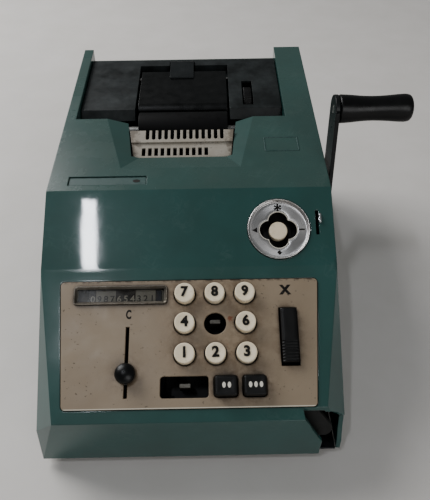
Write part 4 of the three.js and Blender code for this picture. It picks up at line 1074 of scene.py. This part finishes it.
def makeThumbwheel():
    # the rim rises and falls round the wheel: fine grip ribs with flat tops
    low, high = boxMm("feed_thumbwheel")
    radius = (high[2] - low[2]) / 2
    profile = softened([(2.9, low[0]), (radius, low[0]), (radius, high[0]), (2.9, high[0]),
                        (2.9, low[0])], 0.7)
    ribs, deep = 72, 0.5

    def ribbed(angle, r, height):
        ridge = np.clip(np.cos(ribs * angle) * 1.6, -1, 1) / 2 - 0.5
        return r + deep * ridge * (r > radius - 1.0)

    wheel = turned("ribbedWheel", acrossFace("feed_thumbwheel"), (0, 0), profile, ribs * 6, 50, ribbed)
    standFor(wheel, "feed_thumbwheel", keyBlack)


makePlaten()
makeThumbwheel()
print("cover and platen made")


# Crank

grip = {"bore": 3.3}


def makeGrip():
    # waisted handle turned round the stud: collar, narrow waist, swelling end with a shallow dimple
    low, high = boxMm("crank_grip")
    start, end = low[0], high[0]
    widest = (high[2] - low[2]) / 2
    outline = [(grip["bore"], end - 3.2), (grip["bore"], start), (widest - 1.0, start), (widest, start + 0.9),
               (widest - 0.35, start + 8), (widest - 1.2, start + 16), (widest - 1.5, start + 24),
               (widest - 1.15, start + 33), (widest - 0.45, start + 41), (widest - 0.2, end - 4.4),
               (widest - 0.9, end - 1.4), (widest - 3.4, end - 0.1), (widest - 5.6, end), (0, end - 0.5)]
    reach = (0.1, 0.4, 0.6, 3.5, 4, 4, 4, 4, 3.5, 1.6, 1.4, 1.2)
    profile = np.concatenate((np.array(((0, end - 3.2),)), softened(outline, reach, 8)))
    standFor(turned("gripHandle", acrossFace("crank_grip"), (0, 0), profile, 96), "crank_grip", gripBlack)


makeGrip()
standFor(eased("crank_arm", "crankArmPlate", 0.5), "crank_arm", armEnamel)
standFor(eased("crank_bushing", "crankBush", 0.4), "crank_bushing", innerBlack)


# Feet

def makeFoot(node):
    # moulded foot: a slightly waisted puck with a rounded sole
    low, high = boxMm(node)
    centre = (low + high) / 2
    radius = (high[0] - low[0]) / 2
    tall = high[2] - low[2]
    profile = softened([(0, high[2]), (radius - 0.6, high[2]), (radius - 0.9, low[2] + tall * 0.45),
                        (radius, low[2] + 0.9), (radius - 1.1, low[2]), (0, low[2])], (0.3, 1.2, 0.7, 0.6))

    def place(x, y, z):
        x, y, z = np.broadcast_arrays(x, y, z)
        return np.stack((x, y, z), -1) / 1000

    standFor(turned(node.replace("foot_", "sole_"), place, centre[:2], profile, 64), node, footRubber)


for node in ("foot_front_left", "foot_front_right", "foot_rear_left", "foot_rear_right"):
    makeFoot(node)
print("crank and feet made")


# CAD nodes that keep their shape get their real finishes.

keptLooks = {
    "base_plate": darkSteel, "side_frame_left": darkSteel, "side_frame_right": darkSteel,
    "key_guide_plate": innerBlack, "pin_carriage": darkSteel, "type_bank": darkSteel,
    "crank_sector": darkSteel,
    "tie_rod": drawnSteel, "carriage_rail": drawnSteel, "register_shaft": drawnSteel,
    "register_wheels": drawnSteel, "stem_5": stemSteel, "stem_0": stemSteel, "clear_slider": drawnSteel,
    "cover_hinge_rod": drawnSteel, "flap_hinge_pin": drawnSteel, "platen_shaft": drawnSteel,
    "thumbwheel_axle": drawnSteel, "crank_shaft": drawnSteel, "grip_stud": drawnSteel,
    "crank_spring": drawnSteel,
    "dial_well": innerBlack, "selector_cross_slide": innerBlack, "paper_spindle": innerBlack,
    "corner_bracket": innerBlack,
}
for node, look in keptLooks.items():
    refinish(node, look)


print("scene made")
